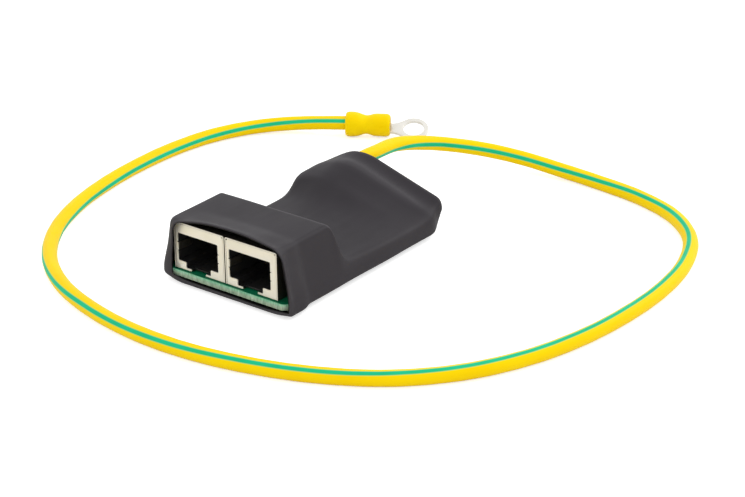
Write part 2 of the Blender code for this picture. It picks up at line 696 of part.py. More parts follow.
def make_housing(name, jack_x):
    """The moulded insert: plug cavity, keyway, a comb of grooves over it, two pegs and two latches."""
    half = HOUSING_WIDTH / 2
    front = FACE_Y + SHEET + SEAT
    housing = box(
        name,
        (jack_x - half, front, JACK_BASE),
        (jack_x + half, FACE_Y + HOUSING_DEPTH, JACK_BASE + HOUSING_TOP),
        black_moulding,
    )
    middle = jack_x + OPENING_SHIFT
    deep = FACE_Y + CAVITY_DEPTH
    cuts = (
        ("cavity", OPENING_WIDTH, OPENING_LOW, OPENING_HIGH),
        ("keyway", KEYWAY_WIDTH, TOE_HEIGHT, OPENING_LOW + CUT_PAST),
        ("keyway floor", TOE_GAP, -CUT_PAST, TOE_HEIGHT + CUT_PAST),
    )
    for label, width, low, high in cuts:
        cutter = box(
            f"{name} {label} cutter",
            (middle - width / 2, front - CUT_PAST, JACK_BASE + low),
            (middle + width / 2, deep, JACK_BASE + high),
        )
        combine(housing, cutter, "DIFFERENCE")
    combine(housing, make_comb_cutter(f"{name} comb cutter", jack_x), "DIFFERENCE")

    for hand, side in ((-1, "left"), (1, "right")):
        peg = rod(
            f"{name} {side} peg", PEG_DIAMETER / 2, BOARD_BOTTOM, JACK_BASE + TOE_HEIGHT / 2,
            (jack_x + hand * PEG_SPREAD / 2, FACE_Y + PEG_PLACE), sides=12,
        )
        combine(housing, peg, "UNION")
    y, z = WINDOW_PLACE
    latch = box(
        f"{name} latches",
        (jack_x - SHEET_MIDDLE, FACE_Y + y + SEAT, JACK_BASE + z + SEAT),
        (jack_x + SHEET_MIDDLE, FACE_Y + y + WINDOW_LENGTH - SEAT, JACK_BASE + z + WINDOW_HEIGHT - SEAT),
    )
    inside = box(
        f"{name} latch gap cutter",
        (middle - OPENING_WIDTH / 2, FACE_Y + y, JACK_BASE + z),
        (middle + OPENING_WIDTH / 2, FACE_Y + y + WINDOW_LENGTH, JACK_BASE + z + WINDOW_HEIGHT),
    )
    combine(latch, inside, "DIFFERENCE")
    combine(housing, latch, "UNION")
    return housing


def make_comb_cutter(name, jack_x):
    """Grooves for the contact wires, open above, that break into the cavity near its mouth."""
    bottom = CONTACT_RUN - CONTACT_WIRE / 2 - SEAT
    top = HOUSING_TOP + CUT_PAST
    rear = HOUSING_DEPTH + CUT_PAST
    mouth, behind = GROOVE_MOUTH
    low = OPENING_HIGH - CUT_PAST
    profile = [(mouth, low), (mouth, top), (rear, top), (rear, bottom), (behind, bottom), (behind, low)]
    groove = outline_curve(name, [profile], CONTACT_WIRE + 2 * GROOVE_CLEARANCE)
    bpy.context.view_layer.update()
    groove = meshed(groove)
    bm = bmesh.new()
    for number in range(CONTACTS):
        turn = Matrix.Rotation(math.radians(90), 4, "Z") @ Matrix.Rotation(math.radians(90), 4, "X")
        place = Vector((contact_x(jack_x, number), FACE_Y, JACK_BASE)) * MM
        before = set(bm.verts)
        bm.from_mesh(groove.data)
        new = [vert for vert in bm.verts if vert not in before]
        bmesh.ops.transform(bm, matrix=Matrix.Translation(place) @ turn, verts=new)
    bm.to_mesh(groove.data)
    bm.free()
    return groove


def make_contact(name, jack_x, number):
    """A spring wire: up through the board, forward in its groove, round and back into the cavity."""
    leg = LEG_ROWS[number % 2]
    run = CONTACT_RUN
    bend = CONTACT_BEND
    side_view = [
        (leg, TAIL_LEVEL - JACK_BASE), (leg, run - 0.9), (leg - 0.26, run - 0.26), (leg - 0.9, run),
        (bend + 0.45, run), (bend + 0.07, run - 0.17), (bend + 0.05, run - 0.6), (bend + 0.4, run - 0.95),
        (CAVITY_DEPTH - TIP_AHEAD, TIP_LEVEL),
    ]
    x = contact_x(jack_x, number)
    path = [(x, FACE_Y + y, JACK_BASE + z) for y, z in side_view]
    return wire(name, path, CONTACT_WIRE, gold_wire, bevel_resolution=1)


def make_chip(name, x, row, size, lead_places, material):
    """A low moulded part: a body with drawn-in top edges and flat leads that reach to its pads."""
    width, length = size
    low = BOARD_TOP + SEAT
    bm = bmesh.new()
    bmesh.ops.create_cube(bm, size=1.0)
    bmesh.ops.scale(bm, vec=Vector((width, length, CHIP_HEIGHT)) * MM, verts=bm.verts)
    top = [vert for vert in bm.verts if vert.co.z > 0]
    bmesh.ops.scale(bm, vec=(0.9, 0.9, 1.0), verts=top)
    body = from_bmesh(name, bm, material)
    body.location = Vector((x, FACE_Y + row, low + CHIP_HEIGHT / 2)) * MM
    for number, across in enumerate(lead_places):
        lead = box(
            f"{name} lead {number}",
            (x + across - 0.35, FACE_Y + row - length / 2 - LEAD_REACH, low),
            (x + across + 0.35, FACE_Y + row + length / 2 + LEAD_REACH, low + LEAD_THICKNESS),
        )
        combine(body, lead, "UNION")
    return body


def make_gas_tube():
    """A ceramic barrel between metal end caps, with a middle electrode and a leg from each."""
    end = TUBE_LENGTH / 2
    radius = TUBE_DIAMETER / 2
    profile = [
        (0.0, end), (radius - 0.4, end), (radius, end - 0.3), (radius, end - 1.2),
        (radius - 0.25, end - 1.3), (radius - 0.25, 0.6), (radius, 0.5),
        (radius, -0.5), (radius - 0.25, -0.6), (radius - 0.25, 1.3 - end),
        (radius, 1.2 - end), (radius, 0.3 - end), (radius - 0.4, -end), (0.0, -end),
    ]
    tube = turned("gas_discharge_tube", profile, tube_ceramic, steps=24)
    tube.location = Vector((TUBE_X, FACE_Y + TUBE_MIDDLE, TUBE_LEVEL)) * MM
    tube.rotation_euler.x = math.radians(90)
    for number, along in enumerate(TUBE_LEGS):
        leg = rod(
            f"gas tube leg {number}", TUBE_LEG / 2, TAIL_LEVEL, TUBE_LEVEL,
            (TUBE_X, FACE_Y + TUBE_MIDDLE + along), sides=8,
        )
        combine(tube, leg, "UNION")
    return tube


def inner_route():
    """The earth wire's middle inside the sleeve, from its stripped end over the board to the exit."""
    rear = SLEEVE_REAR
    first = BOARD_TOP + CABLE_DIAMETER / 2 + 0.7
    return [
        (CABLE_X + 0.2, FACE_Y + STRIPPED_END, first),
        (CABLE_X + 0.1, FACE_Y + STRIPPED_END + 3.0, first + 1.5),
        (CABLE_X, FACE_Y + rear - 9.0, EXIT_HEIGHT - 3.4),
        (CABLE_X, FACE_Y + rear - 5.0, EXIT_HEIGHT - 1.8),
        (CABLE_X, FACE_Y + rear, EXIT_HEIGHT),
    ]


def terminal_point(along):
    """A place on the terminal's axis."""
    turn = math.radians(TERMINAL_TURN)
    dip = math.radians(TERMINAL_DIP)
    step = Vector((math.cos(turn) * math.cos(dip), math.sin(turn) * math.cos(dip), -math.sin(dip)))
    return Vector(TERMINAL_PLACE) + step * along


def make_cable():
    """The insulated earth wire in one run, from the board to inside the terminal's insulator."""
    route = inner_route() + list(CABLE_ROUTE)
    lift = Vector((0.0, 0.0, CABLE_LIFT))
    route += [tuple(terminal_point(along) + lift) for along in (0.0, CABLE_IN_INSULATOR)]
    path = smooth_path(route, CABLE_POINTS)
    return wire("ground_cable", [tuple(point) for point in path], CABLE_DIAMETER, cable_yellow, 2)


def make_soldered_core():
    """The stripped conductor, laid down on its pad in a mound of solder."""
    start = Vector(inner_route()[0])
    toward = (Vector(inner_route()[1]) - start).normalized()
    start -= toward * SEAT
    low = BOARD_TOP + SEAT + CORE_DIAMETER / 2
    route = [
        tuple(start),
        (start.x, start.y - 2.4, start.z - 0.9),
        (start.x, start.y - 4.2, low + 0.1),
        (start.x, FACE_Y + CORE_END, low),
    ]
    core = meshed_wire("soldered_core", smooth_path(route, 7), CORE_DIAMETER, copper)
    half_width, half_length, height = SOLDER_SIZE
    bm = bmesh.new()
    bmesh.ops.create_uvsphere(bm, u_segments=16, v_segments=8, radius=1.0)
    bmesh.ops.bisect_plane(
        bm, geom=bm.verts[:] + bm.edges[:] + bm.faces[:],
        plane_co=(0, 0, 0), plane_no=(0, 0, -1), clear_outer=True,
    )
    rim = [edge for edge in bm.edges if edge.is_boundary]
    bmesh.ops.holes_fill(bm, edges=rim, sides=0)
    bmesh.ops.scale(bm, vec=Vector((half_width, half_length, height)) * MM, verts=bm.verts)
    mound = from_bmesh("solder mound", bm)
    mound.location = Vector((start.x, FACE_Y + MOUND_ROW, BOARD_TOP + SEAT)) * MM
    combine(core, mound, "UNION")
    return core


def meshed_wire(name, path, diameter, material):
    made = wire(name, [tuple(point) for point in path], diameter, material, 2)
    bpy.context.view_layer.update()
    return meshed(made)


def ring_outline(neck_end, arc_steps=24, flare_steps=5):
    """The ring's edge with the neck that widens into it, round the middle of the ring."""
    radius = RING_DIAMETER / 2
    half = RING_NECK / 2
    flare = math.radians(RING_FLARE)
    meet = Vector((-radius * math.cos(flare), radius * math.sin(flare)))
    reach = (meet.y - half) / math.cos(flare)
    bend = Vector((meet.x - reach * math.sin(flare), half))
    start = Vector((bend.x - reach * 0.5, half))
    upper = [Vector((neck_end, half))]
    for step in range(flare_steps + 1):
        t = step / flare_steps
        upper.append((1 - t) ** 2 * start + 2 * t * (1 - t) * bend + t**2 * meet)
    around = []
    for step in range(1, arc_steps):
        turn = math.pi - flare - (2 * math.pi - 2 * flare) * step / arc_steps
        around.append(Vector((math.cos(turn), math.sin(turn))) * radius)
    lower = [Vector((point.x, -point.y)) for point in reversed(upper)]
    return [tuple(point) for point in upper + around + lower]


def make_terminal():
    """The ring terminal, its insulator and the conductor's tip, all on one axis."""
    axis = bpy.data.objects.new("terminal axis", None)
    parts.objects.link(axis)
    axis.location = Vector(TERMINAL_PLACE) * MM
    axis.rotation_mode = "XYZ"
    axis.rotation_euler = (
        math.radians(TERMINAL_ROLL), math.radians(TERMINAL_DIP), math.radians(TERMINAL_TURN)
    )
    length = INSULATOR_LENGTH
    barrel_start = CABLE_IN_INSULATOR + SEAT
    barrel_end = barrel_start + BARREL_LENGTH
    crimp = barrel_start + BARREL_LENGTH / 2

    barrel_gap = BARREL_DIAMETER / 2 + SEAT
    waist_gap = BARREL_WAIST / 2 + SEAT
    mouth_gap = CABLE_DIAMETER / 2 + 2 * SEAT
    outer = [
        (INSULATOR_NOSE / 2 - 0.3, length), (INSULATOR_NOSE / 2, length - 0.4),
        (INSULATOR_NOSE / 2, length - 1.6), (INSULATOR_WAIST / 2 + 0.15, crimp + 1.0),
        (INSULATOR_WAIST / 2, crimp), (INSULATOR_WAIST / 2 + 0.15, crimp - 1.3),
        (INSULATOR_MOUTH / 2 - 0.2, 3.0), (INSULATOR_MOUTH / 2, 1.2), (INSULATOR_MOUTH / 2 - 0.1, 0.0),
    ]
    inner = [
        (INSULATOR_MOUTH / 2 - 0.6, 0.0), (mouth_gap, 2.0), (mouth_gap, barrel_start - 0.6),
        (barrel_gap, barrel_start), (waist_gap, crimp - 1.2),
        (waist_gap, crimp + 1.2), (barrel_gap, crimp + 2.0), (barrel_gap + 0.4, barrel_end - 0.8),
        (barrel_gap + 0.4, length),
    ]
    insulator = turned("terminal_insulator", outer + inner, insulator_yellow, steps=24)

    barrel = turned(
        "ring_terminal",
        [
            (BARREL_DIAMETER / 2, barrel_end), (BARREL_DIAMETER / 2, crimp + 2.2),
            (BARREL_WAIST / 2, crimp + 1.2), (BARREL_WAIST / 2, crimp - 1.2),
            (BARREL_DIAMETER / 2, crimp - 2.2), (BARREL_DIAMETER / 2, barrel_start),
            (BARREL_BORE / 2, barrel_start), (BARREL_BORE / 2, barrel_end),
        ],
        tinned_copper, steps=24,
    )

    ring_top = -RING_DROP + RING_THICKNESS / 2
    ring_bottom = ring_top - RING_THICKNESS
    floor = -BARREL_BORE / 2 - 0.45
    flat = barrel_end + 1.6  # where the tongue has come level with the ring
    tongue_side = [
        (barrel_end - 0.6, floor), (barrel_end + 0.7, floor), (flat, ring_bottom + 0.05),
        (flat + 1.2, ring_bottom + 0.05), (flat + 1.2, ring_top - 0.05), (flat - 0.4, ring_top - 0.05),
        (barrel_end + 0.6, floor + 0.55), (barrel_end - 0.6, floor + 0.55),
    ]
    tongue = outline_curve("terminal tongue", [tongue_side], RING_NECK - 0.1)
    tongue.parent = axis
    tongue.rotation_euler.x = math.radians(90)
    ring = outline_curve(
        "terminal ring",
        [ring_outline(flat - RING_REACH), circle_outline((0, 0), RING_HOLE, 28)],
        RING_THICKNESS,
    )
    ring.parent = axis
    ring.location = Vector((RING_REACH, 0, -RING_DROP)) * MM

    tip = turned(
        "conductor_tip",
        [
            (0.0, barrel_end + TIP_OUT), (CORE_DIAMETER / 2 - 0.2, barrel_end + TIP_OUT),
            (CORE_DIAMETER / 2, barrel_end + TIP_OUT - 0.2),
            (CORE_DIAMETER / 2, barrel_start), (0.0, barrel_start),
        ],
        copper, steps=16,
    )
    for made in (insulator, barrel, tip):
        made.parent = axis
        made.rotation_euler.y = math.radians(90)
    bpy.context.view_layer.update()
    combine(barrel, meshed(tongue), "UNION")
    combine(barrel, meshed(ring), "UNION")


for old in list(bpy.data.objects):
    bpy.data.objects.remove(old, do_unlink=True)

parts = new_collection("ethernet_surge_protector")
helpers = new_collection("cutters and joined shapes")

black_sleeve = principled("black heat-shrink sleeve", (0.062, 0.060, 0.062), 0.5)
board_green = principled("green board", (0.03, 0.16, 0.08), 0.4)
tinned_sheet = principled("tinned steel sheet", (0.75, 0.69, 0.58), 0.35, 1.0)
black_moulding = principled("black jack moulding", (0.008, 0.008, 0.009), 0.45)
gold_wire = principled("gold contact wire", (0.83, 0.60, 0.26), 0.25, 1.0)
black_epoxy = principled("black epoxy", (0.015, 0.015, 0.016), 0.5)
tube_ceramic = principled("tube ceramic", (0.72, 0.70, 0.66), 0.4)
cable_yellow = principled("yellow and green insulation", (0.80, 0.60, 0.01), 0.4)
copper = principled("tinned copper strands", (0.80, 0.62, 0.48), 0.35, 1.0)
insulator_yellow = principled("yellow terminal insulator", (0.90, 0.62, 0.01), 0.35)
tinned_copper = principled("tinned terminal", (0.80, 0.79, 0.77), 0.25, 1.0)

make_sleeve()
make_board()
for hand_name, jack_middle in JACK_SIDES:
    make_shield(f"{hand_name}_jack_shield", jack_middle)
    make_housing(f"{hand_name}_jack_housing", jack_middle)
    for contact in range(CONTACTS):
        make_contact(f"{hand_name}_jack_contact_{contact + 1}", jack_middle, contact)
for column, column_x in enumerate(CHIP_COLUMNS):
    make_chip(
        f"suppressor_diode_{column + 1}", column_x, DIODE_ROW, DIODE_SIZE, (0.0,), black_epoxy
    )
    make_chip(
        f"diode_bridge_{column + 1}", column_x, BRIDGE_ROW, BRIDGE_SIZE,
        (-BRIDGE_LEGS / 2, BRIDGE_LEGS / 2), black_epoxy,
    )
make_gas_tube()
make_soldered_core()
make_cable()
make_terminal()
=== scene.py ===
# %% [markdown]
# # Ethernet surge protector in a heat-shrunk sleeve
# Two shielded sockets sit side by side on the front of a narrow green board. The board and all that is on it
# are wrapped in one black heat-shrunk sleeve, and a green and yellow earth wire leaves its rear, lies in a
# wide loop on the table and ends in an insulated ring terminal.
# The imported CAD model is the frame. Solids whose shape is right keep their place and get a better material,
# and pieces that need more than a solid can hold are built here over the same sizes.

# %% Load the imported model
import math

import bmesh
import bpy
import numpy as np
from mathutils import Matrix, Vector


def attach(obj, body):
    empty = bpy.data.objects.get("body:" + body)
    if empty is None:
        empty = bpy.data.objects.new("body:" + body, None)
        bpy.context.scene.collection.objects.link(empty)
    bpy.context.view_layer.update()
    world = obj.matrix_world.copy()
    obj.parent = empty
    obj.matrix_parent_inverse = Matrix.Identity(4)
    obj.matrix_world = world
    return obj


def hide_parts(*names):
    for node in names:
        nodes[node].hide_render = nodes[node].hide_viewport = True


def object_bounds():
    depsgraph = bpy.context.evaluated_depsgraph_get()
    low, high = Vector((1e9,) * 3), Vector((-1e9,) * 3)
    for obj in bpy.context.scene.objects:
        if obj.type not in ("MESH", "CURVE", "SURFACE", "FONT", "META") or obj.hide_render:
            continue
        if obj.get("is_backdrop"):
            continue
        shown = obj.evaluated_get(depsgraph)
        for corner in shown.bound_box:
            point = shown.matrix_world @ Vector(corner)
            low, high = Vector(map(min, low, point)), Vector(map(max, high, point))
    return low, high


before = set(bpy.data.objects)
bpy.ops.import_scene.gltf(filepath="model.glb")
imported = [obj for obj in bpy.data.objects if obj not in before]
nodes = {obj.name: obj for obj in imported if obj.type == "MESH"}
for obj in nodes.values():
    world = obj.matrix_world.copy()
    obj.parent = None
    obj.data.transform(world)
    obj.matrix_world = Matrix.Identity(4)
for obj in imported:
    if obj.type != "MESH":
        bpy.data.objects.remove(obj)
cad_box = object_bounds()
MM = 0.001
print("CAD nodes:", len(nodes))

# %% [markdown]
# ## Camera
# The photograph was taken from the right front with a long lens. The lens, distance and both angles come from
# fitting the sockets, the board and the flat loop of the wire, so the camera stands at that place for good.

# %% Camera
IMAGE_WIDTH = 745
FOCAL_PX = 2338.9
SENSOR = 36.0
AZIMUTH = math.radians(37.913)
ELEVATION = math.radians(24.693)
ROLL = math.radians(-0.655)
CAMERA_PLACE = Vector((331.085, -398.52, 239.74)) * MM


def linked(name, data):
    """A new object in the scene."""
    obj = bpy.data.objects.new(name, data)
    bpy.context.scene.collection.objects.link(obj)
    return obj


look = Vector((
    -math.sin(AZIMUTH) * math.cos(ELEVATION),
    math.cos(AZIMUTH) * math.cos(ELEVATION),
    -math.sin(ELEVATION),
))
camera_data = bpy.data.cameras.new("photograph")
camera_data.sensor_width = SENSOR
camera_data.lens = FOCAL_PX / IMAGE_WIDTH * SENSOR
camera_data.clip_start = 0.01
camera = linked("photograph", camera_data)
camera.matrix_world = (
    Matrix.Translation(CAMERA_PLACE)
    @ look.to_track_quat("-Z", "Y").to_matrix().to_4x4()
    @ Matrix.Rotation(ROLL, 4, "Z")
)
bpy.context.scene.camera = camera
print(f"lens {camera_data.lens:.1f} mm, {camera.location.length:.3f} m from the middle of the sleeve")

# %% [markdown]
# ## Sizes that several pieces share
# All lengths below are millimetres, in the same frame as the CAD, and become metres where a mesh is made.

# %% Sizes
WALL = 0.6
FACE_Y = -29.55
BOARD_BOTTOM = 1.95
BOARD_TOP = 3.55
JACK_BASE = 3.8
JACK_HEIGHT = 12.0
JACK_MIDDLES = {"left": -8.0, "right": 8.0}
JACK_WIDTH = 15.7
JACK_DEPTH = 16.3
SHEET = 0.3
OPENING_SHIFT = -0.45
OPENING_WIDTH = 12.5
OPENING_LOW = 2.0
OPENING_HIGH = 9.2
KEYWAY_WIDTH = 7.7
TOE_GAP = 4.5
TOE_HEIGHT = 0.5
CABLE_DIAMETER = 3.8


# %% [markdown]
# ## Small tools for making pieces
# A piece is a mesh or curve that rides on the one body of this row. Its vertices are written in the frame's
# own coordinates, so no object is ever moved into place afterwards.

# %% Tools for pieces
def add_piece(name, data, material):
    piece = linked(name, data)
    data.materials.append(material)
    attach(piece, "root")
    return piece


def plain_mesh(name, points, faces):
    """A mesh from points in millimetres."""
    mesh = bpy.data.meshes.new(name)
    mesh.from_pydata([tuple(p) for p in np.asarray(points) * MM], [], faces)
    return mesh


def mesh_piece(name, points, faces, material):
    """A smooth piece from points in millimetres."""
    mesh = plain_mesh(name, points, faces)
    mesh.validate()
    mesh.update()
    for polygon in mesh.polygons:
        polygon.use_smooth = True
    return add_piece(name, mesh, material)


def tube_faces(rings, around, loop=False):
    """Quads between rings of points that follow each other, in a loop also from the last to the first."""
    faces = []
    for ring in range(rings if loop else rings - 1):
        first = ring * around
        after = (ring + 1) % rings * around
        for i in range(around):
            j = (i + 1) % around
            faces.append((first + i, first + j, after + j, after + i))
    return faces


def hermite(t, start, start_slope, end, end_slope):
    """A cubic between two values with the slopes given."""
    return (
        (2 * t**3 - 3 * t**2 + 1) * start + (t**3 - 2 * t**2 + t) * start_slope
        + (3 * t**2 - 2 * t**3) * end + (t**3 - t**2) * end_slope
    )


def smooth_path(route, count):
    """Evenly spaced points on a smooth curve through the route's points."""
    route = np.array(route, float)
    chord = np.sqrt(np.linalg.norm(np.diff(route, axis=0), axis=1))
    knots = np.concatenate(([0.0], np.cumsum(chord)))
    slopes = np.gradient(route, knots, axis=0)
    fine = np.linspace(0.0, knots[-1], 40 * len(route))
    span = np.clip(np.searchsorted(knots, fine, "right") - 1, 0, len(knots) - 2)
    width = knots[span + 1] - knots[span]
    t = ((fine - knots[span]) / width)[:, None]
    width = width[:, None]
    curve = hermite(t, route[span], width * slopes[span], route[span + 1], width * slopes[span + 1])
    run = np.concatenate(([0.0], np.cumsum(np.linalg.norm(np.diff(curve, axis=0), axis=1))))
    even = np.linspace(0.0, run[-1], count)
    return np.column_stack([np.interp(even, run, curve[:, axis]) for axis in range(3)])


def round_wires(name, paths, diameter, resolution):
    """Round wires as one curve, along paths of points in metres."""
    curve = bpy.data.curves.new(name, "CURVE")
    curve.dimensions = "3D"
    curve.bevel_depth = diameter / 2 * MM
    curve.bevel_resolution = resolution
    curve.use_fill_caps = True
    for path in paths:
        spline = curve.splines.new("POLY")
        spline.points.add(len(path) - 1)
        for point, place in zip(spline.points, path):
            point.co = (*place, 1.0)
    return curve


# %% [markdown]
# Sheet-metal parts and boards are flat plates with softened edges. A plate starts as a filled 2D curve, whose
# first outline is its edge and whose others are holes, and is then turned into place. Some plates are cut by
# a block afterwards, and several plates are joined into one piece.

# %% Tools for plates
def circle(x, y, diameter, sides=20):
    turns = [2 * math.pi * i / sides for i in range(sides)]
    return [(x + diameter / 2 * math.cos(turn), y + diameter / 2 * math.sin(turn)) for turn in turns]


def plate(outlines, thickness, soft, place):
    """A flat sheet with softened edges as a mesh, put in its place by a matrix."""
    curve = bpy.data.curves.new("plate", "CURVE")
    curve.dimensions = "2D"
    curve.fill_mode = "BOTH"
    curve.extrude = (thickness / 2 - soft) * MM
    curve.bevel_depth = soft * MM
    curve.bevel_resolution = 1
    curve.offset = -soft * MM
    for outline in outlines:
        spline = curve.splines.new("POLY")
        spline.points.add(len(outline) - 1)
        for point, (x, y) in zip(spline.points, outline):
            point.co = (x * MM, y * MM, 0.0, 1.0)
        spline.use_cyclic_u = True
    mesh = made_mesh(curve)
    mesh.transform(place)
    return mesh


def made_mesh(data, cutter=None):
    """The welded mesh of a curve, or of a mesh that another one is cut out of."""
    work = [linked("work", data)]
    if cutter:
        work.append(linked("cutter", cutter))
        cut = work[0].modifiers.new("cut", "BOOLEAN")
        cut.operation = "DIFFERENCE"
        cut.solver = "EXACT"
        cut.object = work[1]
    graph = bpy.context.evaluated_depsgraph_get()
    mesh = bpy.data.meshes.new_from_object(work[0].evaluated_get(graph))
    for obj in work:
        bpy.data.objects.remove(obj)
    bm = bmesh.new()
    bm.from_mesh(mesh)
    bmesh.ops.remove_doubles(bm, verts=bm.verts, dist=1e-7)
    bm.to_mesh(mesh)
    bm.free()
    return mesh


def block(low, high, soft=0.0):
    """A box between two corners as a mesh, with softened edges where a width is given."""
    low = Vector(low)
    high = Vector(high)
    bm = bmesh.new()
    bmesh.ops.create_cube(bm, size=1.0)
    bmesh.ops.scale(bm, vec=(high - low) * MM, verts=bm.verts)
    bmesh.ops.translate(bm, vec=(low + high) / 2 * MM, verts=bm.verts)
    if soft:
        bmesh.ops.bevel(bm, geom=bm.edges[:], offset=soft * MM, segments=2, profile=0.5, affect="EDGES")
    mesh = bpy.data.meshes.new("block")
    bm.to_mesh(mesh)
    bm.free()
    return mesh


def joined(name, meshes, material, angle=35.0, rest=None):
    """One piece from several meshes, where edges sharper than the angle stay crisp. All meshes but the first
    get the material rest, where one is given."""
    bm = bmesh.new()
    for mesh in meshes:
        bm.from_mesh(mesh)
    whole = bpy.data.meshes.new(name)
    bm.to_mesh(whole)
    bm.free()
    for polygon in whole.polygons:
        polygon.use_smooth = True
    whole.set_sharp_from_angle(angle=math.radians(angle))
    whole.materials.clear()
    piece = add_piece(name, whole, material)
    if rest:
        whole.materials.append(rest)
    for number, polygon in enumerate(whole.polygons):
        polygon.material_index = 1 if rest and number >= len(meshes[0].polygons) else 0
    return piece


def rounded(corners, radius, steps=3):
    """An outline with its corners rounded. A radius may be one number or one for each corner."""
    corners = [Vector(corner) for corner in corners]
    radii = [radius] * len(corners) if isinstance(radius, float) else list(radius)
    outline = []
    for i, corner in enumerate(corners):
        if radii[i] <= 0:
            outline.append(tuple(corner))
            continue
        before = (corners[i - 1] - corner).normalized() * radii[i]
        after = (corners[(i + 1) % len(corners)] - corner).normalized() * radii[i]
        for step in range(steps + 1):
            t = step / steps
            outline.append(tuple(corner + before * (1 - t) ** 2 + after * t**2))
    return outline


def ribbon(path, thickness):
    """Both sides of a thin strip that follows a path on the plane."""
    points = np.array(path)
    along = np.gradient(points, axis=0)
    along /= np.linalg.norm(along, axis=1)[:, None]
    aside = np.column_stack((-along[:, 1], along[:, 0])) * thickness / 2
    return [tuple(p) for p in points + aside] + [tuple(p) for p in (points - aside)[::-1]]


def lying(x, y, z):
    return Matrix.Translation(Vector((x, y, z)) * MM)


def facing_front(x, y, z):
    """Stands a plate up: its x stays across, its y goes up and its thickness runs front to back."""
    return lying(x, y, z) @ Matrix.Rotation(math.radians(90), 4, "X")


# %% [markdown]
# ## Small tools for materials
# Every finish is a few noise, ramp and bump nodes on one Principled shader. The textures read the object's
# own coordinates, which are metres in the frame, so a scale of 1000 gives grains about a millimetre across.

# %% Tools for materials
def feed(tree, socket, value):
    """Gives a socket a plain value, or a link from another socket."""
    if isinstance(value, bpy.types.NodeSocket):
        tree.links.new(value, socket)
    else:
        socket.default_value = value


def add_node(tree, kind, inputs=(), **settings):
    made = tree.nodes.new(kind)
    for key, value in settings.items():
        setattr(made, key, value)
    for key, value in dict(inputs).items():
        feed(tree, made.inputs[key], value)
    return made


class Finish:
    """One procedural material. Its tone, its dullness and its grains each follow a noise, which is given by
    its scale, detail and stretch."""

    def __init__(self, name, colour, roughness, metallic=0.0, tones=None, dull=None, grains=()):
        self.material = bpy.data.materials.new(name)
        self.material.use_nodes = True
        self.material.diffuse_color = (*colour, 1.0)
        self.tree = self.material.node_tree
        self.places = self.node("ShaderNodeTexCoord").outputs["Object"]
        self.normal = None
        self.shade("Base Color", (*colour, 1.0))
        self.shade("Roughness", roughness)
        self.shade("Metallic", metallic)
        if tones:
            noise, dark, light = tones
            self.tone = self.ramp(self.noise(*noise), [(0.3, dark), (0.7, light)])
            self.shade("Base Color", self.tone)
        if dull:
            noise, low, high = dull
            self.shade("Roughness", self.spread(self.noise(*noise), low, high))
        for noise, depth, strength in grains:
            self.bump(self.noise(*noise), depth, strength)

    def shade(self, name, value):
        feed(self.tree, self.tree.nodes["Principled BSDF"].inputs[name], value)

    def node(self, kind, inputs=(), **settings):
        return add_node(self.tree, kind, inputs, **settings)

    def noise(self, scale, detail, stretch=(1.0, 1.0, 1.0)):
        mapping = self.node("ShaderNodeMapping", {"Vector": self.places, "Scale": stretch})
        inputs = {"Vector": mapping.outputs["Vector"], "Scale": scale, "Detail": detail}
        return self.node("ShaderNodeTexNoise", inputs).outputs["Fac"]

    def attribute(self, name, output):
        return self.node("ShaderNodeAttribute", attribute_name=name).outputs[output]

    def spread(self, source, low, high, start=0.0, end=1.0):
        """A value carried from one range to another."""
        inputs = {"Value": source, "From Min": start, "From Max": end, "To Min": low, "To Max": high}
        return self.node("ShaderNodeMapRange", inputs).outputs["Result"]

    def math(self, operation, first, second):
        return self.node("ShaderNodeMath", {0: first, 1: second}, operation=operation).outputs["Value"]

    def ramp(self, source, stops):
        """Colours along a value: stops are (place, colour)."""
        made = self.node("ShaderNodeValToRGB", {"Fac": source})
        elements = made.color_ramp.elements
        while len(elements) < len(stops):
            elements.new(0.5)
        for element, (place, colour) in zip(elements, stops):
            element.position = place
            element.color = (*colour, 1.0)
        return made.outputs["Color"]

    def mix(self, share, first, second):
        """Two colours mixed by a share."""
        made = self.node("ShaderNodeMix", {0: share, 6: first, 7: second}, data_type="RGBA")
        return made.outputs[2]

    def bump(self, source, depth, strength):
        """Relief of a depth in millimetres, added to what is there."""
        inputs = {"Strength": strength, "Distance": depth * MM, "Height": source}
        if self.normal is not None:
            inputs["Normal"] = self.normal
        self.normal = self.node("ShaderNodeBump", inputs).outputs["Normal"]
        self.shade("Normal", self.normal)


# %% [markdown]
# ## The earth wire: finish
# The insulation of an earth wire is extruded in yellow with two green stripes opposite each other. The
# stripes are written as a turn round the wire, stored on the mesh, so they follow every twist and never
# smear: the shader only asks how far a point is from the middle of a stripe. A thin pale border lies where
# the two melts met in the die. The surface is a satin vinyl with a fine grain and a few dull patches.

# %% Wire finish
VINYL_SPECULAR = 0.15
VINYL_TINT = (1.0, 0.85, 0.2, 1.0)
BORDER_COLOUR = (0.46, 0.66, 0.16, 1.0)
vinyl = Finish(
    "yellow_and_green_insulation", (0.98, 0.69, 0.002), 0.42,
    dull=((700.0, 4.0), 0.34, 0.50), grains=[((2600.0, 4.0), 0.012, 0.5)],
)
turn = vinyl.node("ShaderNodeSeparateXYZ", {"Vector": vinyl.attribute("stripe_turn", "Vector")})
across = vinyl.math("MULTIPLY", turn.outputs["X"], turn.outputs["X"])
aside = vinyl.math("MULTIPLY", turn.outputs["Y"], turn.outputs["Y"])
length_squared = vinyl.math("ADD", across, aside)
nearness = vinyl.math("DIVIDE", vinyl.math("SUBTRACT", across, aside), length_squared)
wobble = vinyl.spread(vinyl.noise(260.0, 2.0), -0.015, 0.015)
nearness = vinyl.math("ADD", nearness, wobble)
stripe_share = vinyl.spread(nearness, 0.0, 1.0, 0.85, 0.90)
border_share = vinyl.spread(nearness, 0.0, 1.0, 0.73, 0.81)
